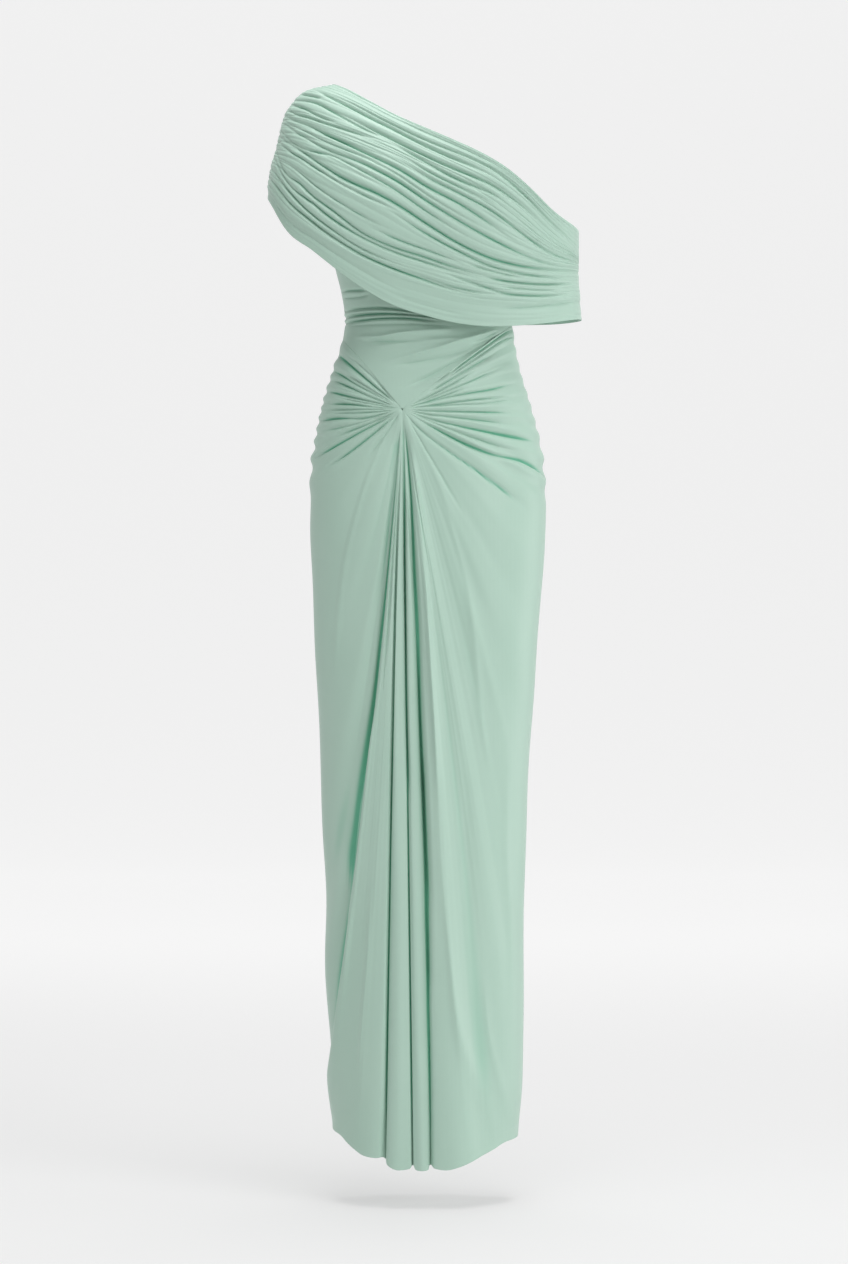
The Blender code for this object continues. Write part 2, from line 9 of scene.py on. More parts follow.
import bmesh
import bpy
import numpy as np
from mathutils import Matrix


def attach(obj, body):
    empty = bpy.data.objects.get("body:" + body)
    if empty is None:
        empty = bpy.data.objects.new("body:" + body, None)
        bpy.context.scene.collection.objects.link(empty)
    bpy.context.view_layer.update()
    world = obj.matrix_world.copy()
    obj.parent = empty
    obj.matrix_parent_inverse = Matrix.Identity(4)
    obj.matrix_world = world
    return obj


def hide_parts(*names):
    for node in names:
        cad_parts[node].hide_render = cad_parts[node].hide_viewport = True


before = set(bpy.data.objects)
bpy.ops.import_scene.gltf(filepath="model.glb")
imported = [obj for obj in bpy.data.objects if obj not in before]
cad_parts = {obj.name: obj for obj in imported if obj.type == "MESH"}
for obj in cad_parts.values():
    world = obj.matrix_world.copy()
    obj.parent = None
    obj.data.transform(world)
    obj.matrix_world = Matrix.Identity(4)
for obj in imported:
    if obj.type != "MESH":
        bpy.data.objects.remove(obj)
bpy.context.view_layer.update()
print("nodes:", ", ".join(sorted(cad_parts)))

# %% [markdown]
# ## The camera
# The dress was seen level, from the front, with a long lens. A camera six metres away with the same narrow
# view keeps the hem and the shoulder in the same proportion. It could stand nearer with a wider lens, but
# then the hips would swell towards it.

# %% Camera
MM = 0.001
IMAGE_WIDTH, IMAGE_HEIGHT = 848, 1264
MM_TO_A_PIXEL = 1.35
CAMERA_AWAY = 6.0
SENSOR = 36.0
PIXELS_PER_UNIT = CAMERA_AWAY / (MM_TO_A_PIXEL * MM)

camera = bpy.data.objects.new("camera", bpy.data.cameras.new("camera"))
camera.data.sensor_fit = "VERTICAL"
camera.data.sensor_height = SENSOR
camera.data.lens = SENSOR * PIXELS_PER_UNIT / IMAGE_HEIGHT
camera.location = (0.1346, -CAMERA_AWAY, -0.7308)
camera.rotation_euler = (math.radians(90), 0, 0)
camera.data.clip_end = 60
bpy.context.scene.collection.objects.link(camera)
bpy.context.scene.camera = camera
print(f"camera: {camera.data.lens:.1f} mm lens, {CAMERA_AWAY} m away")

# %% [markdown]
# ## Helpers for shader maths
# A material is a graph of nodes. Written node by node it is long to read, so one small class wraps a socket
# and lets plain arithmetic on it add the Math nodes. Other nodes come from one method, which sets their
# settings first and then fills or links their sockets.


# %% Shader maths
class Wire:
    """An output socket that can be used in arithmetic."""

    def __init__(self, graph, socket):
        self.graph = graph
        self.socket = socket

    def maths(self, operation, *values):
        return self.graph.node("ShaderNodeMath", {"operation": operation}, dict(enumerate(values)))["Value"]

    def __add__(self, other):
        return self.maths("ADD", self, other)

    def __radd__(self, other):
        return self.maths("ADD", other, self)

    def __sub__(self, other):
        return self.maths("SUBTRACT", self, other)

    def __rsub__(self, other):
        return self.maths("SUBTRACT", other, self)

    def __mul__(self, other):
        return self.maths("MULTIPLY", self, other)

    def __rmul__(self, other):
        return self.maths("MULTIPLY", other, self)


class Made:
    """A node whose outputs are read by name, as wires."""

    def __init__(self, graph, node):
        self.graph = graph
        self.node = node

    def __getitem__(self, name):
        return Wire(self.graph, self.node.outputs[name])


class Graph:
    """The node tree of one material."""

    def __init__(self, material):
        material.use_nodes = True
        self.tree = material.node_tree
        self.shader = self.tree.nodes["Principled BSDF"]

    def put(self, socket, value):
        if isinstance(value, Wire):
            self.tree.links.new(value.socket, socket)
        else:
            socket.default_value = value

    def node(self, kind, settings=None, sockets=None):
        node = self.tree.nodes.new(kind)
        for name, value in (settings or {}).items():
            setattr(node, name, value)
        for name, value in (sockets or {}).items():
            self.put(node.inputs[name], value)
        return Made(self, node)


print("shader helpers are ready")

# %% [markdown]
# ## The jersey
# The dress is cut from a viscose jersey with a matte satin face: a smooth knit that reflects softly, is a
# little greyer where it is thin and stretched, and shows no single loop from a step away. The knit could be
# modelled as loops, but they are half a millimetre wide. Fine ribs in a bump node stand for them, with a soft
# cloudiness in the colour and the roughness, and a weak sheen for the fibre ends.

# %% Jersey material
JERSEY_MINT = (0.385, 0.560, 0.465)
JERSEY_PALE = (0.430, 0.595, 0.505)
# Painted shade: a darker, deeper green that is mixed into the jersey where the cloth lies in a crease or hollow.
JERSEY_CREASE_SHADE = (0.145, 0.455, 0.305)
KNIT_RIB = 0.9 * MM
CLOUD_SIZE = 0.12
SLUB_SIZE = 0.010


def jersey(name):
    """The mint jersey of one piece."""
    material = bpy.data.materials.new(name)
    graph = Graph(material)
    place = graph.node("ShaderNodeTexCoord")["Object"]
    cloud = graph.node(
        "ShaderNodeTexNoise", None, {"Vector": place, "Scale": 1 / CLOUD_SIZE, "Detail": 3.0, "Roughness": 0.5}
    )["Fac"]
    slub = graph.node(
        "ShaderNodeTexNoise", None, {"Vector": place, "Scale": 1 / SLUB_SIZE, "Detail": 2.0, "Roughness": 0.6}
    )["Fac"]
    mixed = 0.75 * cloud + 0.25 * slub
    colour = graph.node(
        "ShaderNodeMix",
        {"data_type": "RGBA"},
        {0: mixed, 6: (*JERSEY_MINT, 1), 7: (*JERSEY_PALE, 1)},
    ).node.outputs[2]
    # Painted shade: the crease mask mixes the darker green into the colour, and it also raises the roughness there.
    valley = graph.node("ShaderNodeAttribute", {"attribute_name": "valley"})["Fac"]
    colour = graph.node(
        "ShaderNodeMix",
        {"data_type": "RGBA"},
        {0: valley, 6: Wire(graph, colour), 7: (*JERSEY_CREASE_SHADE, 1)},
    ).node.outputs[2]
    ribs = graph.node(
        "ShaderNodeTexWave",
        {"wave_type": "BANDS", "bands_direction": "X"},
        {"Vector": place, "Scale": 1 / (KNIT_RIB * 20), "Distortion": 1.5, "Detail": 1.0, "Detail Scale": 2.0},
    )["Fac"]
    bump = graph.node(
        "ShaderNodeBump", None, {"Height": ribs * 0.7 + slub * 0.5, "Strength": 0.12, "Distance": 0.25 * MM}
    )["Normal"]
    shader = graph.shader
    graph.put(shader.inputs["Base Color"], Wire(graph, colour))
    graph.put(shader.inputs["Roughness"], 0.43 + 0.10 * cloud + 0.35 * valley)
    graph.put(shader.inputs["Normal"], bump)
    shader.inputs["Specular IOR Level"].default_value = 0.42
    shader.inputs["Sheen Weight"].default_value = 0.12
    shader.inputs["Sheen Roughness"].default_value = 0.45
    return material


print("jersey: mint", JERSEY_MINT, "with ribs of", KNIT_RIB, "m")

# %% [markdown]
# ## Curves from short tables
# Every form below is read from a short table of measures, in mm, with a smooth curve between them. A body
# could also be sculpted, but a table can be checked against a tape measure.

# %% Reading tables
SHOULDER_REST = np.array((-140, 0, 1446)) * MM


def column(rows, names, name):
    """One named column of a table."""
    return np.array([row[names.index(name)] for row in rows], float)


def curve_through(x, knots, values):
    """A smooth curve through the knots, read at x."""
    knots = np.asarray(knots, float)
    values = np.asarray(values, float)
    slopes = np.gradient(values, knots)
    x = np.clip(np.asarray(x, float), knots[0], knots[-1])
    i = np.clip(np.searchsorted(knots, x) - 1, 0, len(knots) - 2)
    width = knots[i + 1] - knots[i]
    t = (x - knots[i]) / width
    return (
        values[i] * (1 + 2 * t) * (1 - t) ** 2
        + values[i + 1] * t * t * (3 - 2 * t)
        + width * slopes[i] * t * (1 - t) ** 2
        - width * slopes[i + 1] * t * t * (1 - t)
    )


def smooth_step(x, low, high):
    """0 below low, 1 above high, and a soft rise between them."""
    t = np.clip((np.asarray(x, float) - low) / (high - low), 0, 1)
    return t * t * (3 - 2 * t)


def squared(wave, squareness):
    """A sine or cosine bent so that it draws a squarer plan than an ellipse."""
    return np.sign(wave) * np.abs(wave) ** (2 / squareness)


print("tables are read through smooth curves")

# %% [markdown]
# ## The figure inside
# The skirt and the bodice are fitted, so they follow the body: a stack of plans, a little squarer than
# ellipses, narrow at the waist and the hem. These are the sections of the dress, not of a wearer.

# %% Sections of the fitted dress
BODY_SQUARENESS = 2.2
SEAM_GAP = 0.3 * MM
FIGURE_COLUMNS = ("height", "left", "right", "front", "back")
FIGURE = (
    (-10, -124, 119, 86, 78),
    (43, -126, 121, 87, 79),
    (97, -132, 126, 87, 80),
    (178, -135, 128, 86, 80),
    (353, -138, 130, 84, 82),
    (488, -143, 134, 84, 87),
    (623, -149, 142, 88, 95),
    (758, -155, 152, 94, 108),
    (866, -159, 159, 98, 119),
    (907, -159, 158, 98, 121),
    (961, -154, 153, 97, 118),
    (1015, -144, 140, 93, 107),
    (1069, -128, 124, 87, 94),
    (1109, -115, 116, 82, 83),
    (1136, -112, 113, 80, 78),
    (1163, -115, 116, 81, 76),
    (1205, -125, 122, 86, 76),
    (1245, -135, 131, 97, 78),
    (1292, -140, 139, 107, 80),
    (1352, -143, 144, 98, 82),
)


def figure_size(z, name):
    heights = column(FIGURE, FIGURE_COLUMNS, "height") * MM
    return curve_through(z, heights, column(FIGURE, FIGURE_COLUMNS, name) * MM)


def figure_middle(z):
    return (figure_size(z, "left") + figure_size(z, "right")) / 2


def figure_half_width(z):
    return (figure_size(z, "right") - figure_size(z, "left")) / 2


def body_point(angle, z, side, lift):
    """A point of the fitted dress: angle runs from one side seam, -90 degrees, to the other, in radians;
    lift moves it straight out of the plan."""
    half_width = figure_half_width(z)
    depth = figure_size(z, side)
    facing = -1 if side == "front" else 1
    across = squared(np.sin(angle), BODY_SQUARENESS)
    out = squared(np.abs(np.cos(angle)), BODY_SQUARENESS)
    normal_x = np.sign(across) * np.abs(across) ** (BODY_SQUARENESS - 1) / half_width
    normal_y = facing * out ** (BODY_SQUARENESS - 1) / depth
    length = np.hypot(normal_x, normal_y)
    x = figure_middle(z) + half_width * across + lift * normal_x / length
    y = facing * (depth * out + SEAM_GAP / 2) + lift * normal_y / length
    return np.stack([x, y, z + 0 * x], axis=-1)


def angle_at(x, z):
    """The angle at which the front lies x across at the height z."""
    share = np.clip((x - figure_middle(z)) / figure_half_width(z), -1, 1)
    return np.arcsin(np.sign(share) * np.abs(share) ** (BODY_SQUARENESS / 2))


def share_across(angle):
    return squared(np.sin(angle), BODY_SQUARENESS)


print("waist half width", round(float(figure_half_width(1.136)), 3), "m")

# %% [markdown]
# ## The gathers' lines
# All the fullness of the skirt's front is drawn into one stitched point on the belly. Lines run from it to
# both side seams and to the hem, like a fan. A cloth simulation would find some such folds, but not these,
# so each line is listed: where it ends, how it bows, and how far it stands out.

# %% Lines of the fan
GATHER_X = -34.6 * MM
GATHER_Z = 1011.6 * MM
GATHER_RING = 0.9 * MM
GATHER_DIMPLE = -1.2 * MM
RING_FROM = math.radians(128)
RING_TO = math.radians(397)
FOLD_ROOM = 5 * MM
LIFT_STEPS = (0, 0.2, 0.45, 1)
EARLY_LIFT = 0.45
STEEP_FROM = 100 * MM
STEEP_TO = 450 * MM

# Gathers to a side seam: the height of its end, how far it bows to the centre, lift midway and at the seam.
RUCHE_COLUMNS = ("end", "bow", "lift_mid", "lift_end")
LEFT_RUCHES = (
    (1109, 0, 0.0, 0.0),
    (1100, 0, 1.6, 1.4),
    (1087, 0, -1.0, -0.8),
    (1077, 0, 1.8, 1.8),
    (1068, 0, -1.4, -1.0),
    (1061, 0, 1.8, 1.4),
    (1054, 0, -1.2, -1.0),
    (1046, 0, 2.0, 1.8),
    (1038, 0, -1.4, -1.0),
    (1031, 0, 1.6, 1.8),
    (1024, 0, -1.2, -0.8),
    (1018, 0, 1.4, 1.2),
    (1012, 0, -1.2, -0.8),
    (1005, 0, 1.6, 1.6),
    (998, 0, -1.2, -1.0),
    (990, 0, 1.8, 1.6),
    (982, 0, -1.4, -1.2),
    (973, 0, 2.0, 2.0),
    (963, 0, -1.6, -1.6),
    (950, 0, 2.2, 3.4),
    (936, 0, -1.6, -1.4),
    (918, 2, 2.2, 1.8),
    (895, 3, -1.6, -1.0),
    (850, 5, 1.0, 0.4),
    (780, 8, -1.2, -0.4),
    (690, 9, 1.8, 0.6),
    (590, 9, -1.6, -0.8),
    (460, 9, 2.2, 1.2),
    (360, 9, -1.0, -1.0),
    (262, 9, 2.4, 2.6),
    (150, 8, -3.0, -4.0),
    (118, 8, 6.5, 3.0),
    (52, 7, 8.0, 2.0),
)
RIGHT_RUCHES = (
    (40, -9, 6.0, 1.0),
    (110, -9, 4.0, 0.8),
    (220, -9, 1.6, 0.8),
    (330, -9, -0.8, -0.4),
    (440, -8, 1.0, 0.6),
    (540, -7, -0.6, -0.6),
    (630, -6, 1.2, 0.8),
    (710, -5, -1.2, -0.4),
    (790, -3, 0.8, 0.4),
    (850, -2, -1.8, -0.2),
    (886, -1, 2.2, 0.6),
    (905, 0, -2.4, -0.6),
    (920, 0, 2.4, 2.2),
    (936, 0, -2.0, -1.6),
    (950, 0, 2.4, 2.4),
    (966, 0, -1.8, -1.2),
    (980, 0, 2.0, 1.6),
    (991, 0, -1.6, -0.8),
    (1001, 0, 1.8, 1.2),
    (1011, 0, -1.2, -0.6),
    (1021, 0, 1.6, 1.0),
    (1030, 0, -1.0, -0.6),
    (1038, 0, 1.4, 1.0),
    (1047, 0, -1.0, -0.5),
    (1057, 0, 1.4, 0.8),
    (1066, 0, -1.0, -0.5),
    (1076, 0, 1.4, 0.8),
    (1086, 0, -1.2, -0.6),
    (1096, 0, 1.6, 1.0),
    (1105, 0, -1.2, -0.8),
    (1113, 0, 1.6, 1.2),
    (1121, 0, 1.2, 1.0),
    (1128, 0, 0.0, 0.0),
)

# Folds that hang to the hem: place and height on the hem, bow, lift midway and at the hem.
HEM_FOLD_COLUMNS = ("across", "height", "bow", "lift_mid", "lift_end")
HEM_FOLDS = (
    (-115, 42, 6, 8.4, 4.0),
    (-104, 34, 4, 8.8, 7.0),
    (-92, 26, 2, 9.2, 11.0),
    (-78, 18, 0, 9.4, 15.0),
    (-64, 16, -2, 9.2, 17.0),
    (-57.5, 17, -3, 8.0, 15.0),
    (-54.6, 15, -3.2, 4.4, 10.0),
    (-53.0, 12, -3.2, 4.4, 10.5),
    (-49.6, 7, -3, 7.4, 15.0),
    (-36, 1, -2, 10.0, 22.0),
    (-22.6, 3, 0, 7.4, 18.0),
    (-20.2, 7, 0.4, 5.4, 15.0),
    (-18.6, 7, 0.8, 5.4, 14.4),
    (-15.2, 1, 2, 6.6, 16.0),
    (-7.5, 0, 4, 8.8, 19.0),
    (-0.2, 1, 7, 6.6, 16.0),
    (2.4, 7, 8.5, 0.4, 10.0),
    (4.2, 7, 9.5, 0.4, 10.0),
    (8.2, 3, 11, 8.2, 15.0),
    (22, 1, 12, 11.0, 19.5),
    (38, 5, 12, 9.6, 21.0),
    (53, 11, 12, 9.0, 17.0),
    (69, 18, 12, 6.5, 9.0),
    (86, 25, 12, 5.0, 4.0),
    (103, 33, 10, 5.6, 2.0),
)
FIRST_HEM_LINE = len(LEFT_RUCHES)
LAST_HEM_LINE = FIRST_HEM_LINE + len(HEM_FOLDS) - 1
LINES = len(LEFT_RUCHES) + len(HEM_FOLDS) + len(RIGHT_RUCHES)


def gather_lift(steps, lift_mid, lift_end):
    """How far a gather stands out along its length."""
    return MM * curve_through(steps, LIFT_STEPS, (0, EARLY_LIFT * lift_mid, lift_mid, lift_end))


def gather_start(index):
    """Where a gather leaves the small ring around the stitched point."""
    turn = RING_FROM + (RING_TO - RING_FROM) * index / (LINES - 1)
    return GATHER_X + GATHER_RING * math.cos(turn), GATHER_Z + GATHER_RING * math.sin(turn)


def ruche_line(start, row, seam, steps):
    """Angle, height and lift along a gather that ends on a side seam."""
    end, bow, lift_mid, lift_end = row
    start_x, start_z = start
    end_z = end * MM
    end_x = figure_middle(end_z) + seam * figure_half_width(end_z)
    start_angle = angle_at(start_x, start_z)
    start_share = share_across(start_angle)
    turned = share_across(start_angle + (seam * math.pi / 2 - start_angle) * steps)
    round_body = (turned - start_share) / (seam - start_share)
    steepness = smooth_step(start_z - end_z, STEEP_FROM, STEEP_TO)
    share = round_body + (steps - round_body) * steepness
    x = start_x + (end_x - start_x) * share - seam * bow * MM * 4 * share * (1 - share)
    z = start_z + (end_z - start_z) * share
    angle = angle_at(x, z)
    angle[-1] = seam * math.pi / 2
    return angle, z, gather_lift(steps, lift_mid, lift_end)


def hem_line(start, row, steps):
    """Angle, height and lift along a fold that hangs to the hem."""
    across, height, bow, lift_mid, lift_end = row
    start_x, start_z = start
    x = start_x + (across * MM - start_x) * steps + bow * MM * 4 * steps * (1 - steps)
    z = start_z + (height * MM - start_z) * steps
    return angle_at(x, z), z, gather_lift(steps, lift_mid, lift_end)


def fan_lines(steps):
    """Angle, height and lift of every line of the fan, from the V seam's left end round to its right end."""
    lines = []
    for row in LEFT_RUCHES:
        lines.append(ruche_line(gather_start(len(lines)), row, -1, steps))
    for row in HEM_FOLDS:
        lines.append(hem_line(gather_start(len(lines)), row, steps))
    for row in RIGHT_RUCHES:
        lines.append(ruche_line(gather_start(len(lines)), row, 1, steps))
    return np.array(lines).transpose(1, 0, 2)


print("lines in the fan:", LINES)

# %% [markdown]
# ## Creases
# Between two soft ridges the jersey folds into a narrow crease. A crease is a line on the cloth with a depth
# and a width: the cloth drops towards it from both sides, steeply at the bottom and softly above, as a pinched
# fold does. A negative depth makes a soft ridge.


# %% Pressing creases into a cloth
def creases(along, place, unit, table, room, deeper=1.0, wider=1.0, fades=(0.35, 0.35)):
    """Height that the creases of a table give to points. along and place are the points' coordinates, unit is
    the length in metres of one step of place, room is how wide a crease may be there, and fades are the shares
    of its length over which it starts and ends. Each row is (depth in mm, width in mm, (along, place), ...). The
    width may be a pair, for a crease that is wider on one side."""
    height = np.zeros_like(place)
    for depth, width, *knots in table:
        alongs = np.array([knot[0] for knot in knots], float)
        places = np.array([knot[1] for knot in knots], float)
        start, stop = (share * (alongs[-1] - alongs[0]) for share in fades)
        line = curve_through(along, alongs, places) if len(knots) > 2 else np.interp(along, alongs, places)
        present = smooth_step(along, alongs[0] - 0.3 * start, alongs[0] + 0.7 * start)
        present = present * (1 - smooth_step(along, alongs[-1] - 0.7 * stop, alongs[-1] + 0.3 * stop))
        before, after = width if isinstance(width, tuple) else (width, width)
        own = wider * np.where(place < line, before, after) * MM
        wide = np.minimum(own, room)
        away = np.abs(place - line) * unit / wide
        height -= deeper * depth * MM * (wide / own) * present * np.exp(-(away**1.35))
    return height


print("creases have a steep bottom and soft shoulders")

# %% [markdown]
# ## The skirt's front
# The creases of the fan are traced as (how far from the stitched point, which line of the fan). On the left
# and right they are shallow pinches that fade before the seam. In the middle three deep folds fall to the hem.

# %% Creases of the skirt's front
# Each row: depth, width, then (share of the way from the point, line number) ...
FAN_CREASES = (
    (1.6, 2.4, (0.04, 0.8), (0.3, 1.0), (0.62, 1.3)),
    (2.8, 2.6, (0.06, 2.4), (0.4, 2.25), (0.7, 2.1), (0.95, 1.95)),
    (1.6, 1.8, (0.1, 3.7), (0.35, 3.7), (0.55, 3.6)),
    (2.8, 2.6, (0.06, 4.9), (0.4, 4.85), (0.6, 4.5), (0.85, 4.2)),
    (2.8, 2.6, (0.06, 6.7), (0.3, 6.5), (0.45, 6.25), (0.75, 5.9)),
    (1.2, 1.5, (0.2, 7.0), (0.5, 6.95), (0.65, 6.9)),
    (2.6, 2.4, (0.075, 8.1), (0.45, 8.1), (0.8, 7.85)),
    (2.4, 2.0, (0.03, 9.4), (0.25, 9.2), (0.6, 8.85)),
    (3.0, 2.6, (0.025, 11.1), (0.2, 10.8), (0.35, 10.35), (0.7, 10.4)),
    (1.8, 1.8, (0.09, 12.3), (0.35, 12.0), (0.7, 11.8)),
    (2.8, 2.6, (0.05, 14.1), (0.2, 13.6), (0.35, 13.15), (0.65, 12.7)),
    (2.8, 2.6, (0.06, 16.1), (0.25, 15.6), (0.4, 14.7), (0.55, 14.1), (0.8, 13.9)),
    (1.8, 2.0, (0.15, 17.1), (0.45, 16.5), (0.65, 16.1)),
    (2.4, 2.4, (0.03, 18.5), (0.25, 18.1), (0.5, 17.8)),
    (3.4, 3.0, (0.03, 19.9), (0.22, 19.3), (0.4, 19.2), (0.8, 19.2)),
    (2.8, 3.0, (0.025, 21.4), (0.3, 21.2), (0.6, 20.9)),
    (1.6, 2.6, (0.02, 23.1), (0.12, 23.0), (0.25, 22.9)),
    (1.8, 2.4, (0.02, 65.1), (0.12, 66.2), (0.25, 66.8), (0.45, 67.1), (0.6, 67.2)),
    (1.0, 2.2, (0.04, 64.3), (0.2, 64.5), (0.35, 64.6)),
    (2.8, 3.0, (0.04, 68.1), (0.2, 68.7), (0.4, 69.7), (0.6, 70.6), (0.75, 70.6), (0.97, 70.1)),
    (1.7, 1.8, (0.06, 70.3), (0.3, 70.9), (0.55, 71.5)),
    (3.0, 2.8, (0.035, 70.8), (0.15, 71.9), (0.3, 72.5), (0.5, 72.9), (0.75, 73.2)),
    (2.6, 2.6, (0.035, 73.1), (0.2, 74.1), (0.4, 74.5), (0.55, 74.6)),
    (2.6, 2.4, (0.035, 75.4), (0.15, 76.0), (0.3, 76.3), (0.6, 76.6)),
    (1.8, 1.8, (0.125, 78.7), (0.42, 78.3), (0.62, 78.8)),
    (2.0, 1.9, (0.035, 79.1), (0.2, 79.5), (0.35, 79.5), (0.58, 79.3)),
    (2.2, 2.0, (0.075, 81.9), (0.3, 81.5), (0.45, 81.2), (0.7, 81.4)),
    (2.0, 2.0, (0.035, 82.1), (0.18, 82.5), (0.34, 82.9)),
    (2.0, 1.9, (0.09, 83.6), (0.4, 84.0), (0.6, 84.3)),
    (1.8, 1.9, (0.05, 84.7), (0.22, 85.1), (0.42, 85.8)),
    (1.6, 1.8, (0.15, 86.8), (0.4, 86.8), (0.58, 86.9)),
    (2.2, 1.6, (0.26, 88.2), (0.7, 88.3), (0.92, 88.0)),
    (2.4, 1.5, (0.275, 89.2), (0.7, 89.25), (0.95, 89.2)),
)
# Soft lines down the skirt: ridges have a negative depth.
SKIRT_LINES = (
    (1.2, 5.0, (0.12, 26.4), (0.2, 27.4), (0.28, 28.4), (0.36, 29.2), (0.45, 30.0), (0.7, 30.3), (1.0, 30.4)),
    (-1.2, 3.5, (0.3, 31.4), (0.6, 31.5), (0.95, 31.6)),
    (-1.0, 5.0, (0.5, 35.4), (0.75, 35.3), (1.0, 35.2)),
    (2.2, 2.2, (0.10, 47.0), (0.15, 46.1), (0.25, 45.0), (0.34, 44.4)),
    (2.2, 2.6, (0.20, 51.9), (0.3, 51.1), (0.42, 50.5), (0.55, 49.8)),
    (-1.4, 6.0, (0.1, 55.6), (0.25, 54.7), (0.4, 53.8), (0.7, 53.1), (0.98, 53.8)),
    (-0.9, 6.0, (0.2, 64.0), (0.5, 62.5), (0.8, 62.2)),
)
# Valleys of the deep folds, in mm: depth, width, then (height, across) ... from the hem up to the point.
# A pair of widths makes one side of the valley steep, where the next fold stands over it.
FOLD_VALLEYS = (
    (6.2, (16, 1.6), (380, -104), (492, -92), (545, -83), (611, -71), (705, -61), (758, -56.2), (838, -49.6), (985, -38)),
    (1.4, 1.5, (450, -49), (625, -45), (758, -43.5), (811, -41.5), (891, -38.5), (985, -35.5)),
    (6.0, 2.4, (500, -25), (598, -28.5), (705, -30), (811, -31.5), (891, -31.5), (995, -33.6)),
    (7.0, (1.8, 4.6), (350, 0), (492, -6), (598, -10.5), (705, -13.5), (811, -18.7), (891, -22.5), (985, -31)),
    (6.5, 2.4, (240, 1.4), (279, 1.0), (420, -2), (540, -7)),
)
# Soft lines in mm, laid out the same way. Negative depths are ridges.
SOFT_LINES = (
    (-2.2, 2.2, (151, -125), (240, -114), (319, -102), (385, -101), (465, -90), (545, -79), (625, -69)),
    (-2.0, 2.6, (127, -88), (210, -82), (288, -76), (360, -73)),
    (-2.0, 2.2, (651, -126), (758, -117), (838, -104), (944, -71), (984, -53)),
    (-4.4, 6.5, (60, 86), (80, 80), (119, 61), (172, 41), (226, 32), (279, 27), (385, 18), (518, 11), (625, 6), (760, -1)),
    (-1.8, 4.0, (60, 116), (93, 102), (146, 86), (186, 78), (260, 74)),
    (1.6, 12.0, (80, 72), (226, 60), (425, 51), (600, 49)),
    (-2.2, 5.0, (159, 109), (292, 111), (425, 105), (545, 106)),
    (-2.4, 5.0, (540, 80), (610, 70), (700, 62), (780, 52)),
    (-4.5, 4.2, (492, 12), (545, 10), (598, 8), (651, 4.6), (705, 1.3), (758, -1.4), (811, -5.4), (864, -10), (960, -21)),
)
# The three deep folds drift across the fan's lines: where each lies at some shares of the way down.
DRIFT_SHARES = (0, 0.1, 0.2, 0.3, 0.4, 0.5, 0.65, 0.8, 0.9, 1)
FOLD_DRIFT = (
    (39.5, (33.5, 36.4, 37.4, 38.3, 39.0, 39.5, 39.9, 39.7, 39.4, 38.9)),
    (44.5, (43.0, 43.0, 43.2, 43.3, 43.6, 43.8, 44.0, 44.1, 44.3, 44.4)),
    (49.5, (53.5, 52.0, 50.3, 49.1, 48.8, 48.8, 48.8, 48.9, 49.2, 49.4)),
)
print("creases in the fan:", len(FAN_CREASES), "and soft lines:", len(SKIRT_LINES))

# %% [markdown]
# The front is one grid: its columns are fine steps between the fan's lines and its rows are steps from the
# point to the seams and the hem. Columns are dense where the gathers are, because creases cross the columns
# and run along the rows.

# %% The skirt's front
RUCHE_SHARE_MID = 0.5
RUCHE_SHARE_END = 0.95
EARLY_FOLD_GAIN = 0.9
RIPPLE = 0.22 * MM


def between_lines(values, place, strict=False):
    """Values that are known at whole line numbers, read smoothly at any place between them. A strict reading
    never passes the values on either side, so that the corners of the hem stay true."""
    slopes = np.gradient(values, axis=0)
    if strict:
        steps = np.diff(values, axis=0)
        least = np.minimum(np.abs(steps[:-1]), np.abs(steps[1:])) * (steps[:-1] * steps[1:] > 0)
        slopes[1:-1] = np.sign(slopes[1:-1]) * np.minimum(np.abs(slopes[1:-1]), 2 * least)
    low = np.clip(place.astype(int), 0, len(values) - 2)
    t = place - low

    def pick(table, row):
        return np.take_along_axis(table, row, axis=0)

    return (
        pick(values, low) * (1 + 2 * t) * (1 - t) ** 2
        + pick(values, low + 1) * t * t * (3 - 2 * t)
        + pick(slopes, low) * t * (1 - t) ** 2
        - pick(slopes, low + 1) * t * t * (1 - t)
    )


def drifted(place, share):
    """Line numbers moved so that the three deep folds lie where they drift to."""
    moved = np.empty_like(place)
    for k, step in enumerate(share):
        now = [np.interp(step, DRIFT_SHARES, drift) for _, drift in FOLD_DRIFT]
        home = [line for line, _ in FOLD_DRIFT]
        moved[:, k] = np.interp(place[:, k], [0, 30.5, *now, 58, 90], [0, 30.5, *home, 58, 90])
    return moved


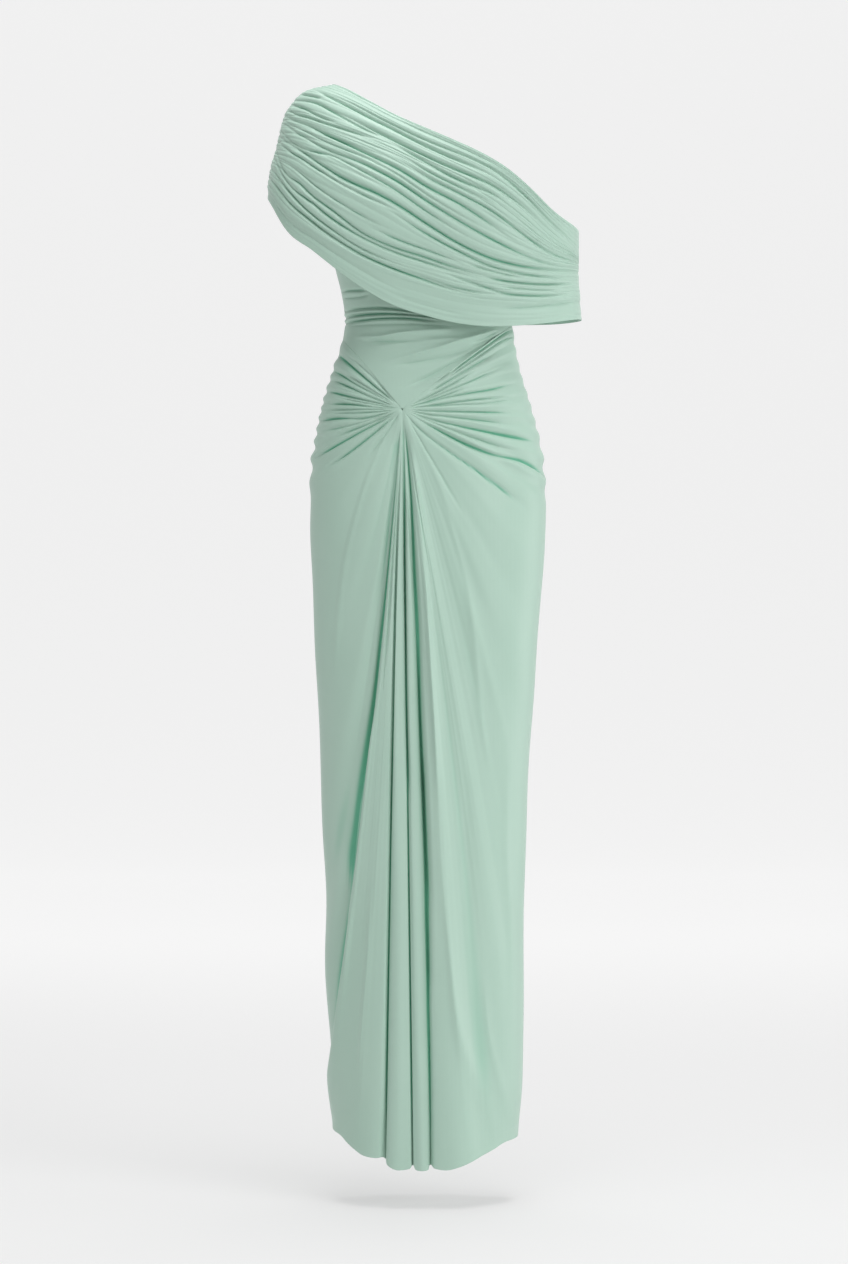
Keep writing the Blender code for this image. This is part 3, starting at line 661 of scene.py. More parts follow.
def skirt_front_surface(lines_at, steps):
    """Points of the skirt's front at the line numbers and the shares of the way from the stitched point."""
    angle, z, lift = fan_lines(steps)
    share = np.broadcast_to(steps, (len(lines_at), len(steps)))
    place = np.repeat(lines_at[:, None], len(steps), axis=1)
    flat_angle = np.clip(between_lines(angle, place, True), -math.pi / 2, math.pi / 2)
    flat_z = between_lines(z, place, True)
    flat = body_point(flat_angle, flat_z, "front", 0)
    down = np.gradient(flat, axis=1)
    down /= np.linalg.norm(down, axis=-1, keepdims=True) + 1e-12
    beside = np.gradient(flat, axis=0) / np.gradient(place, axis=0)[..., None]
    beside -= down * np.sum(beside * down, axis=-1, keepdims=True)
    spacing = np.linalg.norm(beside, axis=-1)
    raised = between_lines(lift, drifted(place, steps)) * np.clip(spacing / FOLD_ROOM * 2, 0, 1)
    is_ruche = 1 - smooth_step(place, 30, 31.5) * (1 - smooth_step(place, 58.5, 60))
    kept = RUCHE_SHARE_MID + (RUCHE_SHARE_END - RUCHE_SHARE_MID) * smooth_step(share, 0.75, 1)
    early = 1 + EARLY_FOLD_GAIN * np.exp(-(((share - 0.14) / 0.12) ** 2))
    raised = raised * (is_ruche * kept + (1 - is_ruche) * early)
    relief = creases(share, place, spacing, FAN_CREASES, 0.75 * spacing, 1.9, 0.8, (0.14, 0.5))
    relief += creases(share, place, spacing, SKIRT_LINES, 3.0 * spacing, 1.2)
    valleys = creases(flat_z / MM, flat[..., 0] / MM, MM, FOLD_VALLEYS, 1.0, fades=(0.10, 0.06))
    raised += relief + valleys
    wobble = np.sin(2.3 * place + 5 * share) * np.sin(5.9 * place - 3 * share + 1.0)
    raised += RIPPLE * wobble * np.clip(spacing / FOLD_ROOM, 0, 1) * np.sin(math.pi * np.clip(share * 1.1, 0, 1))
    raised += GATHER_DIMPLE * np.exp(-((share / 0.008) ** 2))
    soft = creases(flat_z / MM, flat[..., 0] / MM, MM, SOFT_LINES, 1.0, fades=(0.3, 0.3))
    return body_point(flat_angle, flat_z, "front", raised + soft), raised, valleys


FAN_COLUMNS = np.concatenate(
    [np.linspace(0, 31, 270)[:-1], np.linspace(31, 58, 200)[:-1], np.linspace(58, 90, 250)]
)
FAN_STEPS = np.concatenate([np.linspace(0, 1, 62)[:-1] ** 1.35, [0.984, 0.985, 0.9995, 1.0]])
FAN_STEPS = np.unique(np.clip(FAN_STEPS, 0, 1))
skirt_front_points, skirt_front_relief, skirt_front_valleys = skirt_front_surface(FAN_COLUMNS, FAN_STEPS)
print("skirt front grid:", skirt_front_points.shape[:2])

# %% [markdown]
# ## From a grid of points to a piece of cloth
# Each piece is an open grid, thickened inwards by a Solidify modifier to the thickness of jersey turned
# double at its edges. Every piece rides on the one body of the dress and stands for its solid.

# %% Making one piece of cloth
WALL = 1.1 * MM
# Painted crease shade: it starts where the cloth lies 1 mm below its neighbours and is full at 4 mm.
VALLEY_FROM = 1.0 * MM
VALLEY_TO = 4.0 * MM
VALLEY_SHADE = 0.28


def hollows(height, axis, window):
    """How far each point lies below the mean of its neighbours along one axis of the grid."""
    padding = [(0, 0), (0, 0)]
    padding[axis] = (window + 1, window)
    total = np.cumsum(np.pad(height, padding, mode="edge"), axis=axis)
    size = height.shape[axis]
    ahead = np.take(total, np.arange(size) + 2 * window + 1, axis=axis)
    behind = np.take(total, np.arange(size), axis=axis)
    return (ahead - behind) / (2 * window + 1) - height


def cloth_piece(node, points, facing, hollow=None):
    """A thin shell on the grid of points, named after the solid that it stands for. Painted shade makes the
    jersey a deeper, darker green where the cloth lies in a hollow."""
    rows, columns = points.shape[:2]
    mesh = bpy.data.meshes.new(node + "_cloth")
    index = np.arange(rows * columns).reshape(rows, columns)
    quads = np.stack([index[:-1, :-1], index[:-1, 1:], index[1:, 1:], index[1:, :-1]], axis=-1).reshape(-1, 4)
    flat = (points - SHOULDER_REST).reshape(-1, 3)
    mesh.from_pydata(flat.tolist(), [], quads.tolist())
    mesh.update()
    outward = sum(face.normal.y * face.area for face in mesh.polygons)
    if outward * facing < 0:
        mesh.flip_normals()
    mesh.shade_smooth()
    # The mask of the painted crease shade.
    if hollow is not None:
        valley = mesh.attributes.new("valley", "FLOAT", "POINT")
        valley.data.foreach_set("value", smooth_step(hollow.ravel(), VALLEY_FROM, VALLEY_TO))
    mesh.materials.append(jersey(node + "_jersey_and_crease_shade"))
    piece = bpy.data.objects.new(node + "_cloth", mesh)
    bpy.context.scene.collection.objects.link(piece)
    wall = piece.modifiers.new("wall", "SOLIDIFY")
    wall.thickness = WALL
    wall.offset = -1
    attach(piece, "root")
    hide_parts(node)
    area = sum(face.area for face in mesh.polygons)
    print(f"{piece.name}: {rows} x {columns} points, {area:.3f} square metres")
    return piece


# Painted shade: how deep the front lies in its creases and deep folds, with less of it near the hem.
skirt_front_hollow = hollows(skirt_front_relief, 0, 16) - VALLEY_SHADE * skirt_front_valleys
skirt_front_hollow = skirt_front_hollow * (1 - 0.7 * smooth_step(FAN_STEPS, 0.85, 1.0))
skirt_front = cloth_piece("skirt_front", skirt_front_points, -1, skirt_front_hollow)

# %% [markdown]
# ## The skirt's back
# The back is cut in two halves with a seam down the centre. The gathers run round the side seams and fade,
# and a few soft folds fall from the hips to the hem. None of it shows from the front, so it is kept plain.

# %% The skirt's back halves
BACK_FOLD_COLUMNS = ("angle", "lift")
BACK_FOLDS = ((-90, 0.0), (-62, 3.5), (-42, -3.0), (-22, 5.5), (0, -3.0), (14, 5.0), (34, -3.0), (56, 4.0), (90, 0.0))
# Soft lines of the back in mm: depth, width, then (height, across) ... from the hem up.
BACK_LINES = (
    (2.6, 5.0, (60, -78), (400, -72), (760, -50)),
    (-2.4, 4.0, (40, -52), (420, -48), (820, -26)),
    (3.2, 5.0, (30, -24), (380, -22), (700, -14)),
    (2.8, 5.0, (30, 34), (400, 30), (760, 16)),
    (-2.6, 4.5, (40, 58), (420, 52), (800, 34)),
    (2.6, 5.0, (50, 88), (400, 80), (720, 60)),
)
BACK_RUCHE_FADE = 3
BACK_FALL_FROM = 150 * MM
BACK_FALL_TO = 1000 * MM
SEAM_GROOVE = 0.5 * MM


def skirt_back_surface(angle):
    """Points of the skirt's back at the angles, row by row from the waist to the hem."""
    row_at = np.linspace(0, len(LEFT_RUCHES) - 1, 200)
    whole = np.arange(len(LEFT_RUCHES))
    left_z = curve_through(row_at, whole, column(LEFT_RUCHES, RUCHE_COLUMNS, "end")) * MM
    right_z = curve_through(row_at, whole, column(RIGHT_RUCHES[::-1], RUCHE_COLUMNS, "end")) * MM
    left_lift = curve_through(row_at, whole, column(LEFT_RUCHES, RUCHE_COLUMNS, "lift_end")) * MM
    right_lift = curve_through(row_at, whole, column(RIGHT_RUCHES[::-1], RUCHE_COLUMNS, "lift_end")) * MM
    across = (1 + share_across(angle)) / 2
    near_seam = np.abs(np.sin(angle)) ** BACK_RUCHE_FADE
    fold = curve_through(
        np.degrees(angle),
        column(BACK_FOLDS, BACK_FOLD_COLUMNS, "angle"),
        column(BACK_FOLDS, BACK_FOLD_COLUMNS, "lift") * MM,
    )
    z = left_z[:, None] + (right_z - left_z)[:, None] * across
    ruche = RUCHE_SHARE_END * (left_lift[:, None] + (right_lift - left_lift)[:, None] * across) * near_seam
    fall = smooth_step(GATHER_Z - z, BACK_FALL_FROM, BACK_FALL_TO)
    groove = SEAM_GROOVE * np.exp(-((np.degrees(angle) / 0.8) ** 2))
    x = figure_middle(z) + figure_half_width(z) * share_across(angle)
    relief = ruche + fold * fall - groove + creases(z / MM, x / MM, MM, BACK_LINES, 1.0, fades=(0.2, 0.6))
    return body_point(np.broadcast_to(angle, z.shape), z, "back", relief), relief


BACK_HALF_ANGLES = np.radians(np.concatenate([[-90], np.linspace(-88.5, -2, 110), [-1.2, -0.7, -0.3, 0]]))
right_half, right_relief = skirt_back_surface(BACK_HALF_ANGLES)
left_half, left_relief = skirt_back_surface(-BACK_HALF_ANGLES[::-1])
right_half[:, -1, 0] -= SEAM_GAP / 2
left_half[:, 0, 0] += SEAM_GAP / 2
# Painted shade in the creases, from how deep the cloth lies in them.
skirt_back_right = cloth_piece("skirt_back_right", right_half, 1, hollows(right_relief, 1, 5))
skirt_back_left = cloth_piece("skirt_back_left", left_half, 1, hollows(left_relief, 1, 5))

# %% [markdown]
# ## The drape's strip
# A wide strip of jersey is pleated along its length and laid over one shoulder, across the chest and round
# both upper arms. Eight flow lines say where the strip runs. Its depth comes from the chest and the arms.

# %% The strip with no pleats
DRAPE_SQUARENESS = 2.4
FLOW_SHARES = (0, 0.06, 0.15, 0.27, 0.4, 0.5, 0.6, 0.7, 0.8, 0.9, 1)
FLOW_COLUMNS = ("across_strip", "from_x", "to_x", "heights")
FLOW = (
    (0.00, -128, 202, (1452.5, 1443, 1425, 1402, 1382, 1367, 1351, 1331, 1304, 1274, 1255)),
    (0.14, -166, 202, (1443, 1437, 1423, 1399, 1374, 1357, 1340, 1321, 1295, 1261, 1234)),
    (0.28, -188, 202, (1420, 1415, 1401, 1381, 1358, 1339, 1320, 1299, 1273, 1242, 1221)),
    (0.42, -196, 202, (1401, 1395, 1380, 1359, 1334, 1310, 1290, 1270, 1246, 1224, 1213)),
    (0.56, -204, 202, (1366, 1357, 1338, 1311, 1282, 1256, 1232, 1214, 1204, 1200, 1201)),
    (0.70, -211, 202, (1342, 1316, 1277, 1244, 1222, 1210, 1197, 1187, 1182, 1181, 1185)),
    (0.84, -215, 204, (1316, 1280, 1249, 1219, 1195, 1181, 1169, 1162, 1160, 1161, 1167)),
    (1.00, -217, 208, (1300, 1254, 1222, 1182, 1149, 1135, 1125, 1121, 1123, 1128, 1136)),
)
DRAPE_DEPTH_COLUMNS = ("height", "front", "back")
DRAPE_DEPTH = (
    (1100, 104, 90),
    (1150, 107, 91),
    (1200, 112, 93),
    (1250, 117, 94),
    (1290, 118, 94),
    (1330, 112, 92),
    (1365, 99, 86),
    (1400, 82, 76),
    (1430, 64, 62),
    (1445, 54, 54),
    (1465, 46, 46),
)
BUST_X = (-82 * MM, 86 * MM)
BUST_Z = 1292 * MM
BUST_SPREAD = 44 * MM
BUST_LIFT = 6 * MM
BACK_RISE_SHARES = (0, 0.06, 0.15, 0.4, 0.8, 1)
BACK_RISE = (0, 8, 14, 16, 12, 0)
SMALL_STEP = 1e-3


def drape_line_values(strip, name):
    places = column(FLOW, FLOW_COLUMNS, "across_strip")
    return curve_through(strip, places, column(FLOW, FLOW_COLUMNS, name) * MM)


def drape_height(strip, share):
    """Height of the strip at places across it and shares of the way across the front. Both are grids."""
    places = column(FLOW, FLOW_COLUMNS, "across_strip")
    heights = np.array([row[FLOW_COLUMNS.index("heights")] for row in FLOW], float) * MM
    by_line = np.array([curve_through(share, FLOW_SHARES, line) for line in heights])
    slopes = np.gradient(by_line, places, axis=0)
    strip = np.clip(strip, places[0], places[-1])
    low = np.clip(np.searchsorted(places, strip) - 1, 0, len(places) - 2)
    width = places[low + 1] - places[low]
    t = (strip - places[low]) / width

    def pick(table, row):
        return np.take_along_axis(table, row[None], axis=0)[0]

    return (
        pick(by_line, low) * (1 + 2 * t) * (1 - t) ** 2
        + pick(by_line, low + 1) * t * t * (3 - 2 * t)
        + width * pick(slopes, low) * t * (1 - t) ** 2
        - width * pick(slopes, low + 1) * t * t * (1 - t)
    )


def drape_depth(z, side):
    heights = column(DRAPE_DEPTH, DRAPE_DEPTH_COLUMNS, "height") * MM
    return curve_through(z, heights, column(DRAPE_DEPTH, DRAPE_DEPTH_COLUMNS, side) * MM)


def drape_base(angle, strip, side):
    """The strip stretched round the chest, the shoulder and both arms."""
    facing = -1 if side == "front" else 1
    across = squared(np.sin(angle), DRAPE_SQUARENESS)
    out = squared(np.abs(np.cos(angle)), DRAPE_SQUARENESS)
    share = (1 + across) / 2
    from_x = drape_line_values(strip, "from_x")
    x = from_x + (drape_line_values(strip, "to_x") - from_x) * share
    z = drape_height(strip, share)
    if side == "back":
        z = z + MM * curve_through(share, BACK_RISE_SHARES, BACK_RISE) * smooth_step(strip, 0.1, 0.6)
    depth = drape_depth(z, side)
    if side == "front":
        for bust_x in BUST_X:
            away = (x - bust_x) ** 2 + (z - BUST_Z) ** 2
            depth = depth + BUST_LIFT * np.exp(-away / (2 * BUST_SPREAD**2))
    return np.stack([x, facing * (depth * out + SEAM_GAP / 2), z], axis=-1)


def drape_normal(angle, strip, side):
    turn = SMALL_STEP
    along = drape_base(angle + turn, strip, side) - drape_base(angle - turn, strip, side)
    down = drape_base(angle, strip + turn, side) - drape_base(angle, strip - turn, side)
    normal = np.cross(down, along) if side == "front" else np.cross(along, down)
    return normal / np.linalg.norm(normal, axis=-1, keepdims=True)


print("flow lines of the drape:", len(FLOW))

# %% [markdown]
# ## The drape's pleats
# The pleats are uneven: they start and end within the strip, run together and part again. Each dark valley is
# traced as (share of the way across the front, place across the strip). The lower band stays smooth.

# %% Pleat valleys of the drape's front
# Each row: depth, width, then (share across, place across the strip) ...
DRAPE_PLEATS = (
    (1.6, 4.0, (0.3, 0.05), (0.5, 0.05), (0.7, 0.05)),
    (2.4, 3.2, (0.1, 0.125), (0.3, 0.126), (0.45, 0.128), (0.68, 0.115), (0.8, 0.148), (0.97, 0.166)),
    (3.4, 4.0, (0.03, 0.12), (0.1, 0.145), (0.2, 0.16), (0.35, 0.167), (0.5, 0.185), (0.68, 0.174)),
    (2.4, 2.6, (0.0, 0.17), (0.03, 0.172), (0.08, 0.176)),
    (2.6, 3.0, (0.0, 0.22), (0.08, 0.215), (0.15, 0.235), (0.22, 0.255), (0.33, 0.278)),
    (3.4, 3.6, (0.18, 0.228), (0.3, 0.245), (0.42, 0.262), (0.55, 0.266), (0.7, 0.241), (0.86, 0.246)),
    (2.6, 2.8, (0.0, 0.25), (0.05, 0.27), (0.1, 0.295), (0.17, 0.302)),
    (2.8, 3.0, (0.0, 0.29), (0.03, 0.33), (0.1, 0.345), (0.17, 0.34), (0.3, 0.32)),
    (3.4, 3.6, (0.38, 0.296), (0.47, 0.31), (0.57, 0.326), (0.72, 0.298)),
    (1.6, 3.0, (0.42, 0.365), (0.55, 0.371), (0.7, 0.37)),
    (3.6, 3.8, (0.0, 0.36), (0.04, 0.40), (0.1, 0.415), (0.25, 0.436), (0.45, 0.442), (0.6, 0.445), (0.76, 0.47)),
    (2.8, 3.2, (0.4, 0.402), (0.6, 0.405), (0.75, 0.414), (0.88, 0.437), (0.99, 0.458)),
    (1.8, 2.2, (0.0, 0.40), (0.03, 0.43), (0.1, 0.455), (0.3, 0.462), (0.63, 0.478)),
    (3.0, 3.2, (0.0, 0.42), (0.05, 0.465), (0.1, 0.485), (0.3, 0.486), (0.6, 0.495), (0.8, 0.51), (0.95, 0.536)),
    (2.6, 2.8, (0.0, 0.46), (0.03, 0.50), (0.2, 0.51), (0.4, 0.52), (0.6, 0.526)),
    (4.0, 4.0, (0.0, 0.49), (0.03, 0.52), (0.1, 0.55), (0.2, 0.568), (0.35, 0.562), (0.6, 0.566), (0.99, 0.576)),
    (2.6, 2.6, (0.0, 0.52), (0.05, 0.565), (0.1, 0.577), (0.2, 0.587), (0.4, 0.582)),
    (3.0, 3.2, (0.4, 0.594), (0.5, 0.60), (0.62, 0.602), (0.75, 0.622), (0.95, 0.656)),
    (2.0, 2.6, (0.05, 0.628), (0.2, 0.635), (0.36, 0.642)),
    (2.4, 2.4, (0.34, 0.659), (0.45, 0.662), (0.6, 0.656)),
    (3.2, 3.2, (0.0, 0.56), (0.03, 0.65), (0.1, 0.665), (0.2, 0.667), (0.3, 0.685), (0.5, 0.695), (0.7, 0.70)),
    (3.0, 3.0, (0.0, 0.62), (0.03, 0.68), (0.15, 0.688), (0.3, 0.702), (0.5, 0.72), (0.66, 0.727)),
    (2.6, 2.8, (0.0, 0.71), (0.05, 0.735), (0.2, 0.742), (0.3, 0.77), (0.4, 0.785)),
    (3.6, 3.4, (0.0, 0.77), (0.05, 0.786), (0.15, 0.788), (0.3, 0.825), (0.45, 0.834), (0.65, 0.848)),
    (1.8, 2.6, (0.44, 0.816), (0.55, 0.824), (0.7, 0.832)),
    (2.8, 3.0, (0.58, 0.752), (0.68, 0.780), (0.76, 0.818), (0.85, 0.825), (0.95, 0.818)),
    (3.2, 2.8, (0.7, 0.708), (0.78, 0.718), (0.86, 0.72), (0.96, 0.716)),
    (2.2, 2.4, (0.64, 0.648), (0.72, 0.654), (0.8, 0.668)),
    (2.0, 2.2, (0.75, 0.768), (0.83, 0.773), (0.92, 0.774)),
    (1.6, 3.6, (0.74, 0.912), (0.85, 0.898), (0.99, 0.876)),
    (1.0, 5.0, (0.02, 0.905), (0.2, 0.91), (0.42, 0.924)),
    (0.8, 5.0, (0.4, 0.955), (0.5, 0.955), (0.62, 0.955)),
)
PLEAT_RELIEF = 1.8 * MM
HEM_ROLL = 0.5 * MM
FINE_PLEATS = ((25, 1.5, 0.4), (41, 0.9, 2.1))


def strip_width(angle, strip, side):
    """Length in metres of one whole step across the strip, at each point."""
    step = SMALL_STEP
    across = drape_base(angle, strip + step, side) - drape_base(angle, strip - step, side)
    return np.linalg.norm(across, axis=-1) / (2 * step)


def fine_pleats(share, strip):
    """Narrow pleats between the traced ones: two layers that come and go as they run along the strip."""
    height = np.zeros_like(strip)
    for count, depth, phase in FINE_PLEATS:
        run = count * strip + 0.5 * np.sin(3.1 * share + phase) + 0.25 * np.sin(7.3 * share + 9.0 * strip + phase)
        valley = (1 - np.abs(np.sin(math.pi * run))) ** 2
        strength = 0.5 + 0.5 * np.sin(11.0 * strip + 5.0 * share + 2.3 * phase) * np.sin(4.0 * share - phase)
        height -= depth * MM * valley * strength
    return height


def drape_surface(angles, strips, side, pleats):
    """Points of one side of the drape: rows across the strip and columns from arm to arm."""
    angle, strip = np.meshgrid(angles, strips)
    share = (1 + squared(np.sin(angle), DRAPE_SQUARENESS)) / 2
    width = strip_width(angle, strip, side)
    pleated = 1 - smooth_step(strip, 0.84, 0.90)
    relief = creases(share, strip, width, pleats, 0.021 * width, 1.6, 0.60)
    relief += fine_pleats(share, strip) * (0.25 + 0.75 * pleated)
    lift = PLEAT_RELIEF * pleated + relief
    lift -= HEM_ROLL * np.exp(-(((1 - strip) * width / (9 * MM)) ** 6)) * smooth_step(strip, 0.8, 0.9)
    return drape_base(angle, strip, side) + lift[..., None] * drape_normal(angle, strip, side), relief


DRAPE_ANGLES = np.radians(np.concatenate([[-90], np.linspace(-89, 89, 118), [90]]))
DRAPE_STRIPS = np.concatenate([np.linspace(0, 0.86, 300)[:-1], np.linspace(0.86, 1, 36)])
drape_front_points, drape_front_relief = drape_surface(DRAPE_ANGLES, DRAPE_STRIPS, "front", DRAPE_PLEATS)
# Painted shade in the pleats' valleys, from how deep the cloth lies in them.
drape_front = cloth_piece("drape_front", drape_front_points, -1, hollows(drape_front_relief, 0, 7))

# %% [markdown]
# The back of the drape isn't seen in the photograph. Its pleats start where the front's meet the arms' seams
# and run across with a slow wander, so that it looks made by the same hand.

# %% The drape's back
BACK_PLEAT_COUNT = 22


def back_pleats():
    """Valleys across the back: each leaves the right arm's seam, wanders and reaches the left arm's seam."""
    rows = []
    for i in range(BACK_PLEAT_COUNT):
        place = 0.06 + 0.80 * i / (BACK_PLEAT_COUNT - 1)
        wander = 0.012 * math.sin(2.1 * i) + 0.006 * math.sin(4.7 * i + 1)
        depth = 2.6 + 0.8 * math.sin(3.3 * i + 0.5)
        start = 0.0 if i % 3 else 0.08
        stop = 1.0 if i % 4 else 0.86
        rows.append(
            (depth, 3.2, (start, place), (0.3, place + wander), (0.65, place - wander), (stop, place + wander / 2))
        )
    return tuple(rows)


BACK_ANGLES = np.radians(np.concatenate([[-90], np.linspace(-89, 89, 90), [90]]))
BACK_STRIPS = np.concatenate([np.linspace(0, 0.88, 230)[:-1], np.linspace(0.88, 1, 20)])
drape_back_points, drape_back_relief = drape_surface(BACK_ANGLES, BACK_STRIPS, "back", back_pleats())
# Painted shade in the pleats' valleys, from how deep the cloth lies in them.
drape_back = cloth_piece("drape_back", drape_back_points, 1, hollows(drape_back_relief, 0, 6))

# %% [markdown]
# ## The bodice
# Under the drape a fitted bodice reaches down to the V seam that the gathers hang on. On the wearer's right
# three tucks are pressed across the waist, and soft strain folds run up to the left end of the seam.

# %% Creases of the bodice's front
# Each row: depth, width, then (x, z) in mm ...
BODICE_CREASES = (
    (2.4, 1.6, (-116, 1173.5), (-100, 1173), (-84, 1172)),
    (1.2, 2.2, (-116, 1165), (-98, 1164), (-80, 1166)),
    (2.2, 1.6, (-118, 1147), (-64, 1148), (-37, 1145), (-2, 1138)),
    (-1.4, 1.8, (-118, 1142.5), (-64, 1144), (-37, 1142), (-2, 1135.5)),
    (3.6, 1.8, (-118, 1138), (-77, 1140), (-37, 1139), (26, 1133)),
    (-1.6, 1.8, (-118, 1134), (-84, 1136.5), (-37, 1136.8), (22, 1131.5)),
    (3.8, 1.8, (-118, 1130), (-90, 1132.5), (-37, 1134.0), (14, 1129.5)),
    (1.6, 2.4, (-104, 1126), (-64, 1126.5), (-10, 1125.5), (34, 1122)),
    (-2.4, 3.2, (-92, 1110), (-64, 1109.5), (-37, 1114), (28, 1118)),
    (2.2, 3.2, (-84, 1103.5), (-44, 1102.5), (0, 1103.5)),
    (-1.8, 3.2, (-66, 1097), (-10, 1103), (66, 1108)),
    (-2.6, 3.6, (-50, 1077), (3, 1091), (36, 1102), (92, 1119)),
    (2.4, 4.0, (-48, 1070), (16, 1081), (56, 1093), (90, 1109)),
    (2.0, 3.2, (-30, 1041), (16, 1063), (56, 1088), (104, 1115)),
    (-2.4, 3.0, (-13, 1042), (30, 1062), (70, 1090), (108, 1115)),
    (1.6, 2.2, (60, 1102), (76, 1108), (92, 1117)),
    (1.4, 1.6, (86, 1106), (99, 1114), (110, 1123)),
)
BODICE_TOP_COLUMNS = ("across", "front", "back")
BODICE_TOP = (
    (-145, 1290, 1290),
    (-100, 1325, 1300),
    (-50, 1350, 1306),
    (0, 1358, 1306),
    (50, 1342, 1300),
    (100, 1315, 1290),
    (146, 1278, 1278),
)
SEAM_LIFT = 0.10 * MM
BODICE_MEETS_DRAPE = 5 * MM
LEAN_FROM_Z = 1215 * MM
LEAN_TO_Z = 1340 * MM
LEAN_WIDE = 70 * MM
LEAN_NARROW = 120 * MM
HALVINGS = 22
print("creases in the bodice:", len(BODICE_CREASES))


# %% The bodice's front
def drape_inner_depth(x, z):
    """How far forward the drape's front is at x, z: found by halving the strip."""
    low = np.zeros_like(x)
    high = np.ones_like(x)
    for _ in range(HALVINGS):
        middle = (low + high) / 2
        from_x = drape_line_values(middle, "from_x")
        to_x = drape_line_values(middle, "to_x")
        share = np.clip((x - from_x) / (to_x - from_x), 0, 1)
        above = drape_height(middle, share) > z
        low = np.where(above, middle, low)
        high = np.where(above, high, middle)
    across = 2 * share - 1
    angle = np.arcsin(np.sign(across) * np.abs(across) ** (DRAPE_SQUARENESS / 2))
    return drape_base(angle, middle, "front")[..., 1]


def bodice_top(x, side):
    across = column(BODICE_TOP, BODICE_TOP_COLUMNS, "across") * MM
    return curve_through(x, across, column(BODICE_TOP, BODICE_TOP_COLUMNS, side) * MM)


def bodice_front_surface(columns, rows):
    """The bodice from the V seam up to its hidden top edge: rows are shares of the way up."""
    edges, _, _ = skirt_front_surface(np.array([0.0, 0.01, LINES - 1.01, LINES - 1.0]), FAN_STEPS)
    seam = np.concatenate([edges[0][::-1], edges[-1]])
    seam_angle = angle_at(seam[:, 0], seam[:, 2])
    seam_angle[0], seam_angle[-1] = -math.pi / 2, math.pi / 2
    angle = np.interp(np.linspace(0, len(seam_angle) - 1, columns), np.arange(len(seam_angle)), seam_angle)
    seam_z = np.interp(angle, seam_angle, seam[:, 2]) + SEAM_LIFT
    x = figure_middle(seam_z) + figure_half_width(seam_z) * share_across(angle)
    top = bodice_top(x, "front")
    z = seam_z + (top - seam_z) * rows[:, None]
    angle = np.broadcast_to(angle, z.shape)
    across = body_point(angle, z, "front", 0)[..., 0]
    relief = creases(across / MM, z / MM, MM, BODICE_CREASES, 1.0, 1.7)
    points = body_point(angle, z, "front", relief)
    limit = drape_inner_depth(points[..., 0], z) + BODICE_MEETS_DRAPE
    near_top = smooth_step(z, LEAN_FROM_Z, LEAN_TO_Z)
    centre = 1 - smooth_step(np.abs(points[..., 0]), LEAN_WIDE, LEAN_NARROW)
    points[..., 1] += (limit - points[..., 1]) * near_top * centre
    return points, relief


BODICE_ROWS = np.concatenate([np.linspace(0, 0.56, 230)[:-1], np.linspace(0.56, 1, 30)])
bodice_front_points, bodice_front_relief = bodice_front_surface(180, BODICE_ROWS)
# Painted shade in the creases, from how deep the cloth lies in them.
bodice_front = cloth_piece("bodice_front", bodice_front_points, -1, hollows(bodice_front_relief, 0, 6))


# %% The bodice's back
def bodice_back_surface(angle, rows):
    """The back from the waist seam up to its hidden top edge."""
    across = (1 + share_across(angle)) / 2
    left_end, right_end = LEFT_RUCHES[0][0], RIGHT_RUCHES[-1][0]
    low = MM * (left_end + (right_end - left_end) * across) + SEAM_LIFT
    x = figure_middle(low) + figure_half_width(low) * share_across(angle)
    high = bodice_top(x, "back")
    z = low + (high - low) * rows[:, None]
    tuck_side = smooth_step(-np.degrees(angle), 20, 90)
    tucks = -1.6 * MM * tuck_side * np.exp(-(((z - 1138 * MM) / (2.2 * MM)) ** 2))
    tucks += -1.6 * MM * tuck_side * np.exp(-(((z - 1130 * MM) / (2.2 * MM)) ** 2))
    return body_point(np.broadcast_to(angle, z.shape), z, "back", tucks)


BODICE_BACK_ANGLES = np.radians(np.concatenate([[-90], np.linspace(-88.5, 88.5, 70), [90]]))
bodice_back = cloth_piece("bodice_back", bodice_back_surface(BODICE_BACK_ANGLES, np.linspace(0, 1, 90)), 1)

# %% [markdown]
# ## Floor, backdrop and light
# The dress hangs a little above a pale floor that runs up into a pale backdrop with no edge, as in a studio.
# Large soft lights from the front and from above, with a painted glow in the paper itself, leave only a faint shadow
# under the hem.

# %% Floor and backdrop
FLOOR_Z = -1.498
# Painted light: the paper glows, though it is no lamp, most on the far backdrop and least in front of the dress.
STAGE_WHITE = 0.36
# Painted shade: the paper is darker in front of the dress.
STAGE_FRONT = 0.20
FLOOR_GLOW = 0.47
FAR_GLOW = 0.695
FRONT_GLOW = 0.14


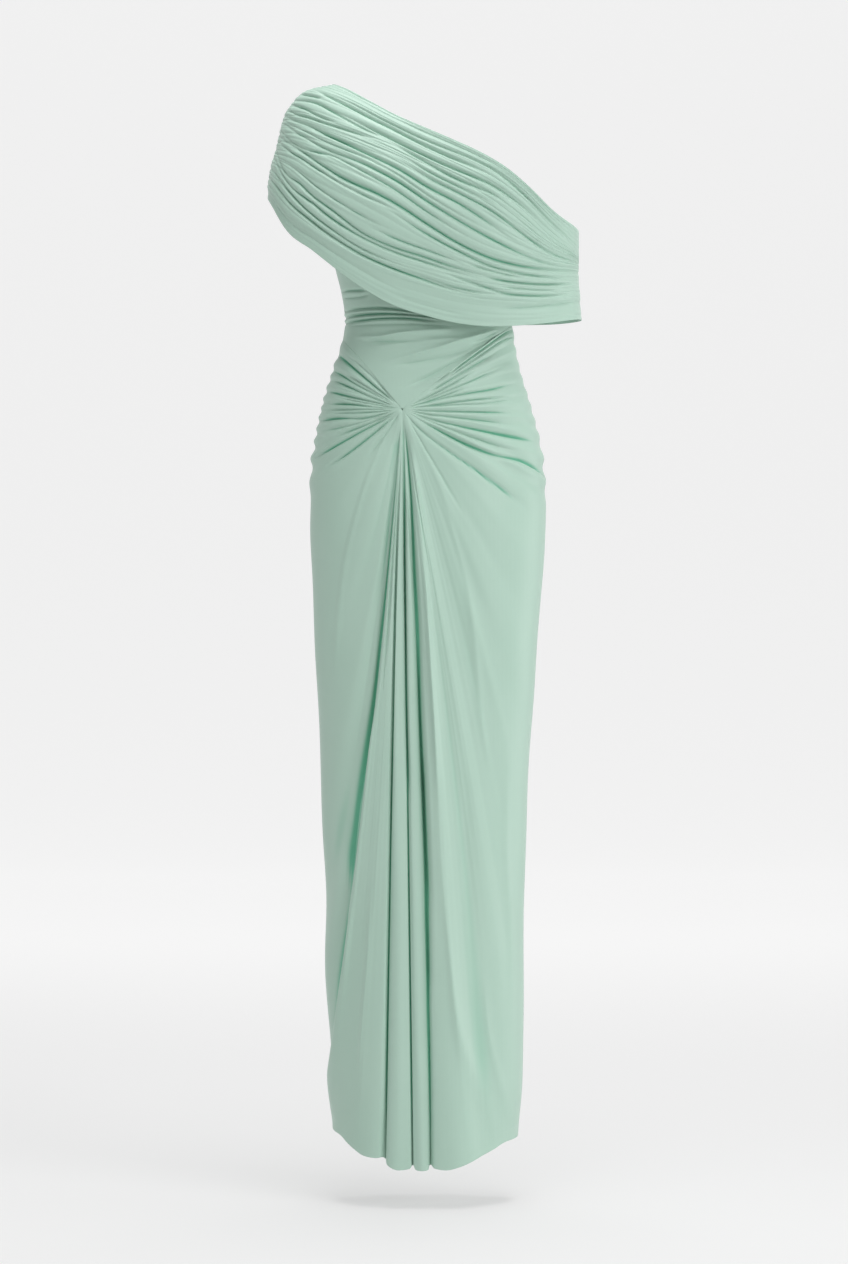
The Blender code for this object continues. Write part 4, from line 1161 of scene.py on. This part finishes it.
def stage_material():
    """Pale paper with a painted glow that stands in for light from behind. In front of the dress, where the camera
    doesn't look, it is dimmed by painted shade: darker paper and less glow.
    """
    material = bpy.data.materials.new("studio_paper")
    graph = Graph(material)
    place = graph.node("ShaderNodeTexCoord")["Object"]
    split = graph.node("ShaderNodeSeparateXYZ", None, {"Vector": place})
    near = graph.node(
        "ShaderNodeMapRange", {"interpolation_type": "SMOOTHSTEP"}, {"Value": split["Y"], "From Min": -7.0, "From Max": -0.8}
    )["Result"]
    far = graph.node(
        "ShaderNodeMapRange", {"interpolation_type": "SMOOTHSTEP"}, {"Value": split["Y"], "From Min": 0.3, "From Max": 5.5}
    )["Result"]
    # Painted shade in front and painted glow behind, blended along the floor.
    white = STAGE_FRONT + near * (STAGE_WHITE - STAGE_FRONT)
    glow = FRONT_GLOW + near * (FLOOR_GLOW - FRONT_GLOW) + far * (FAR_GLOW - FLOOR_GLOW)
    paper = graph.node("ShaderNodeCombineXYZ", None, {"X": white, "Y": white, "Z": white})["Vector"]
    light = graph.node("ShaderNodeCombineXYZ", None, {"X": glow, "Y": glow, "Z": glow})["Vector"]
    graph.put(graph.shader.inputs["Base Color"], paper)
    graph.put(graph.shader.inputs["Emission Color"], light)
    graph.shader.inputs["Emission Strength"].default_value = 1.0
    graph.shader.inputs["Roughness"].default_value = 0.8
    graph.shader.inputs["Specular IOR Level"].default_value = 0.1
    return material


def sweep(width, front, back, radius, height):
    """A floor that curves up into a wall, as a strip of paper would."""
    profile = [(front, 0.0), (back - radius, 0.0)]
    for i in range(1, 25):
        turn = math.pi / 2 * i / 24
        profile.append((back - radius + radius * math.sin(turn), radius - radius * math.cos(turn)))
    profile.append((back, height))
    points = [(x, y, FLOOR_Z + z) for y, z in profile for x in (-width / 2, width / 2)]
    faces = [(2 * i, 2 * i + 1, 2 * i + 3, 2 * i + 2) for i in range(len(profile) - 1)]
    mesh = bpy.data.meshes.new("studio_sweep")
    mesh.from_pydata(points, [], faces)
    mesh.shade_smooth()
    mesh.materials.append(stage_material())
    backdrop = bpy.data.objects.new("studio_sweep", mesh)
    bpy.context.scene.collection.objects.link(backdrop)
    return backdrop


studio = sweep(width=30, front=-12, back=12, radius=4, height=12)
print("floor at", FLOOR_Z)


# %% Lights
def soft_light(name, size, power, place, target):
    """An area light, across and along in metres, that looks from its place to the target."""
    light = bpy.data.lights.new(name, "AREA")
    light.shape = "RECTANGLE"
    light.size, light.size_y = size
    light.energy = power
    lamp = bpy.data.objects.new(name, light)
    lamp.location = place
    across = [t - p for t, p in zip(target, place)]
    level = math.hypot(across[0], across[1])
    lamp.rotation_euler = (
        math.pi / 2 + math.atan2(across[2], level),
        0,
        math.atan2(across[1], across[0]) - math.pi / 2,
    )
    bpy.context.scene.collection.objects.link(lamp)
    return lamp


DRESS_MIDDLE = (0.13, 0, -0.7)
BELOW_THE_TOP = (0.35, -0.2, -1.5)
soft_light("key", (2.0, 2.0), 74, (3.0, -3.4, 0.5), DRESS_MIDDLE)
soft_light("fill", (2.5, 2.5), 16, (-3.0, -3.6, -0.4), DRESS_MIDDLE)
soft_light("right side", (2.0, 2.0), 60, (4.2, 0.4, -1.25), DRESS_MIDDLE)
soft_light("left side", (2.0, 2.0), 18, (-4.0, 0.6, -1.1), DRESS_MIDDLE)
soft_light("top", (1.6, 4.6), 150, (0.35, -0.6, 3.2), BELOW_THE_TOP)

world = bpy.data.worlds.new("studio_air")
world.use_nodes = True
world.node_tree.nodes["Background"].inputs["Color"].default_value = (1, 1, 1, 1)
world.node_tree.nodes["Background"].inputs["Strength"].default_value = 0.27
bpy.context.scene.world = world
bpy.context.scene.view_settings.view_transform = "Standard"
print("lights: key, fill, two sides, top and the studio's air")
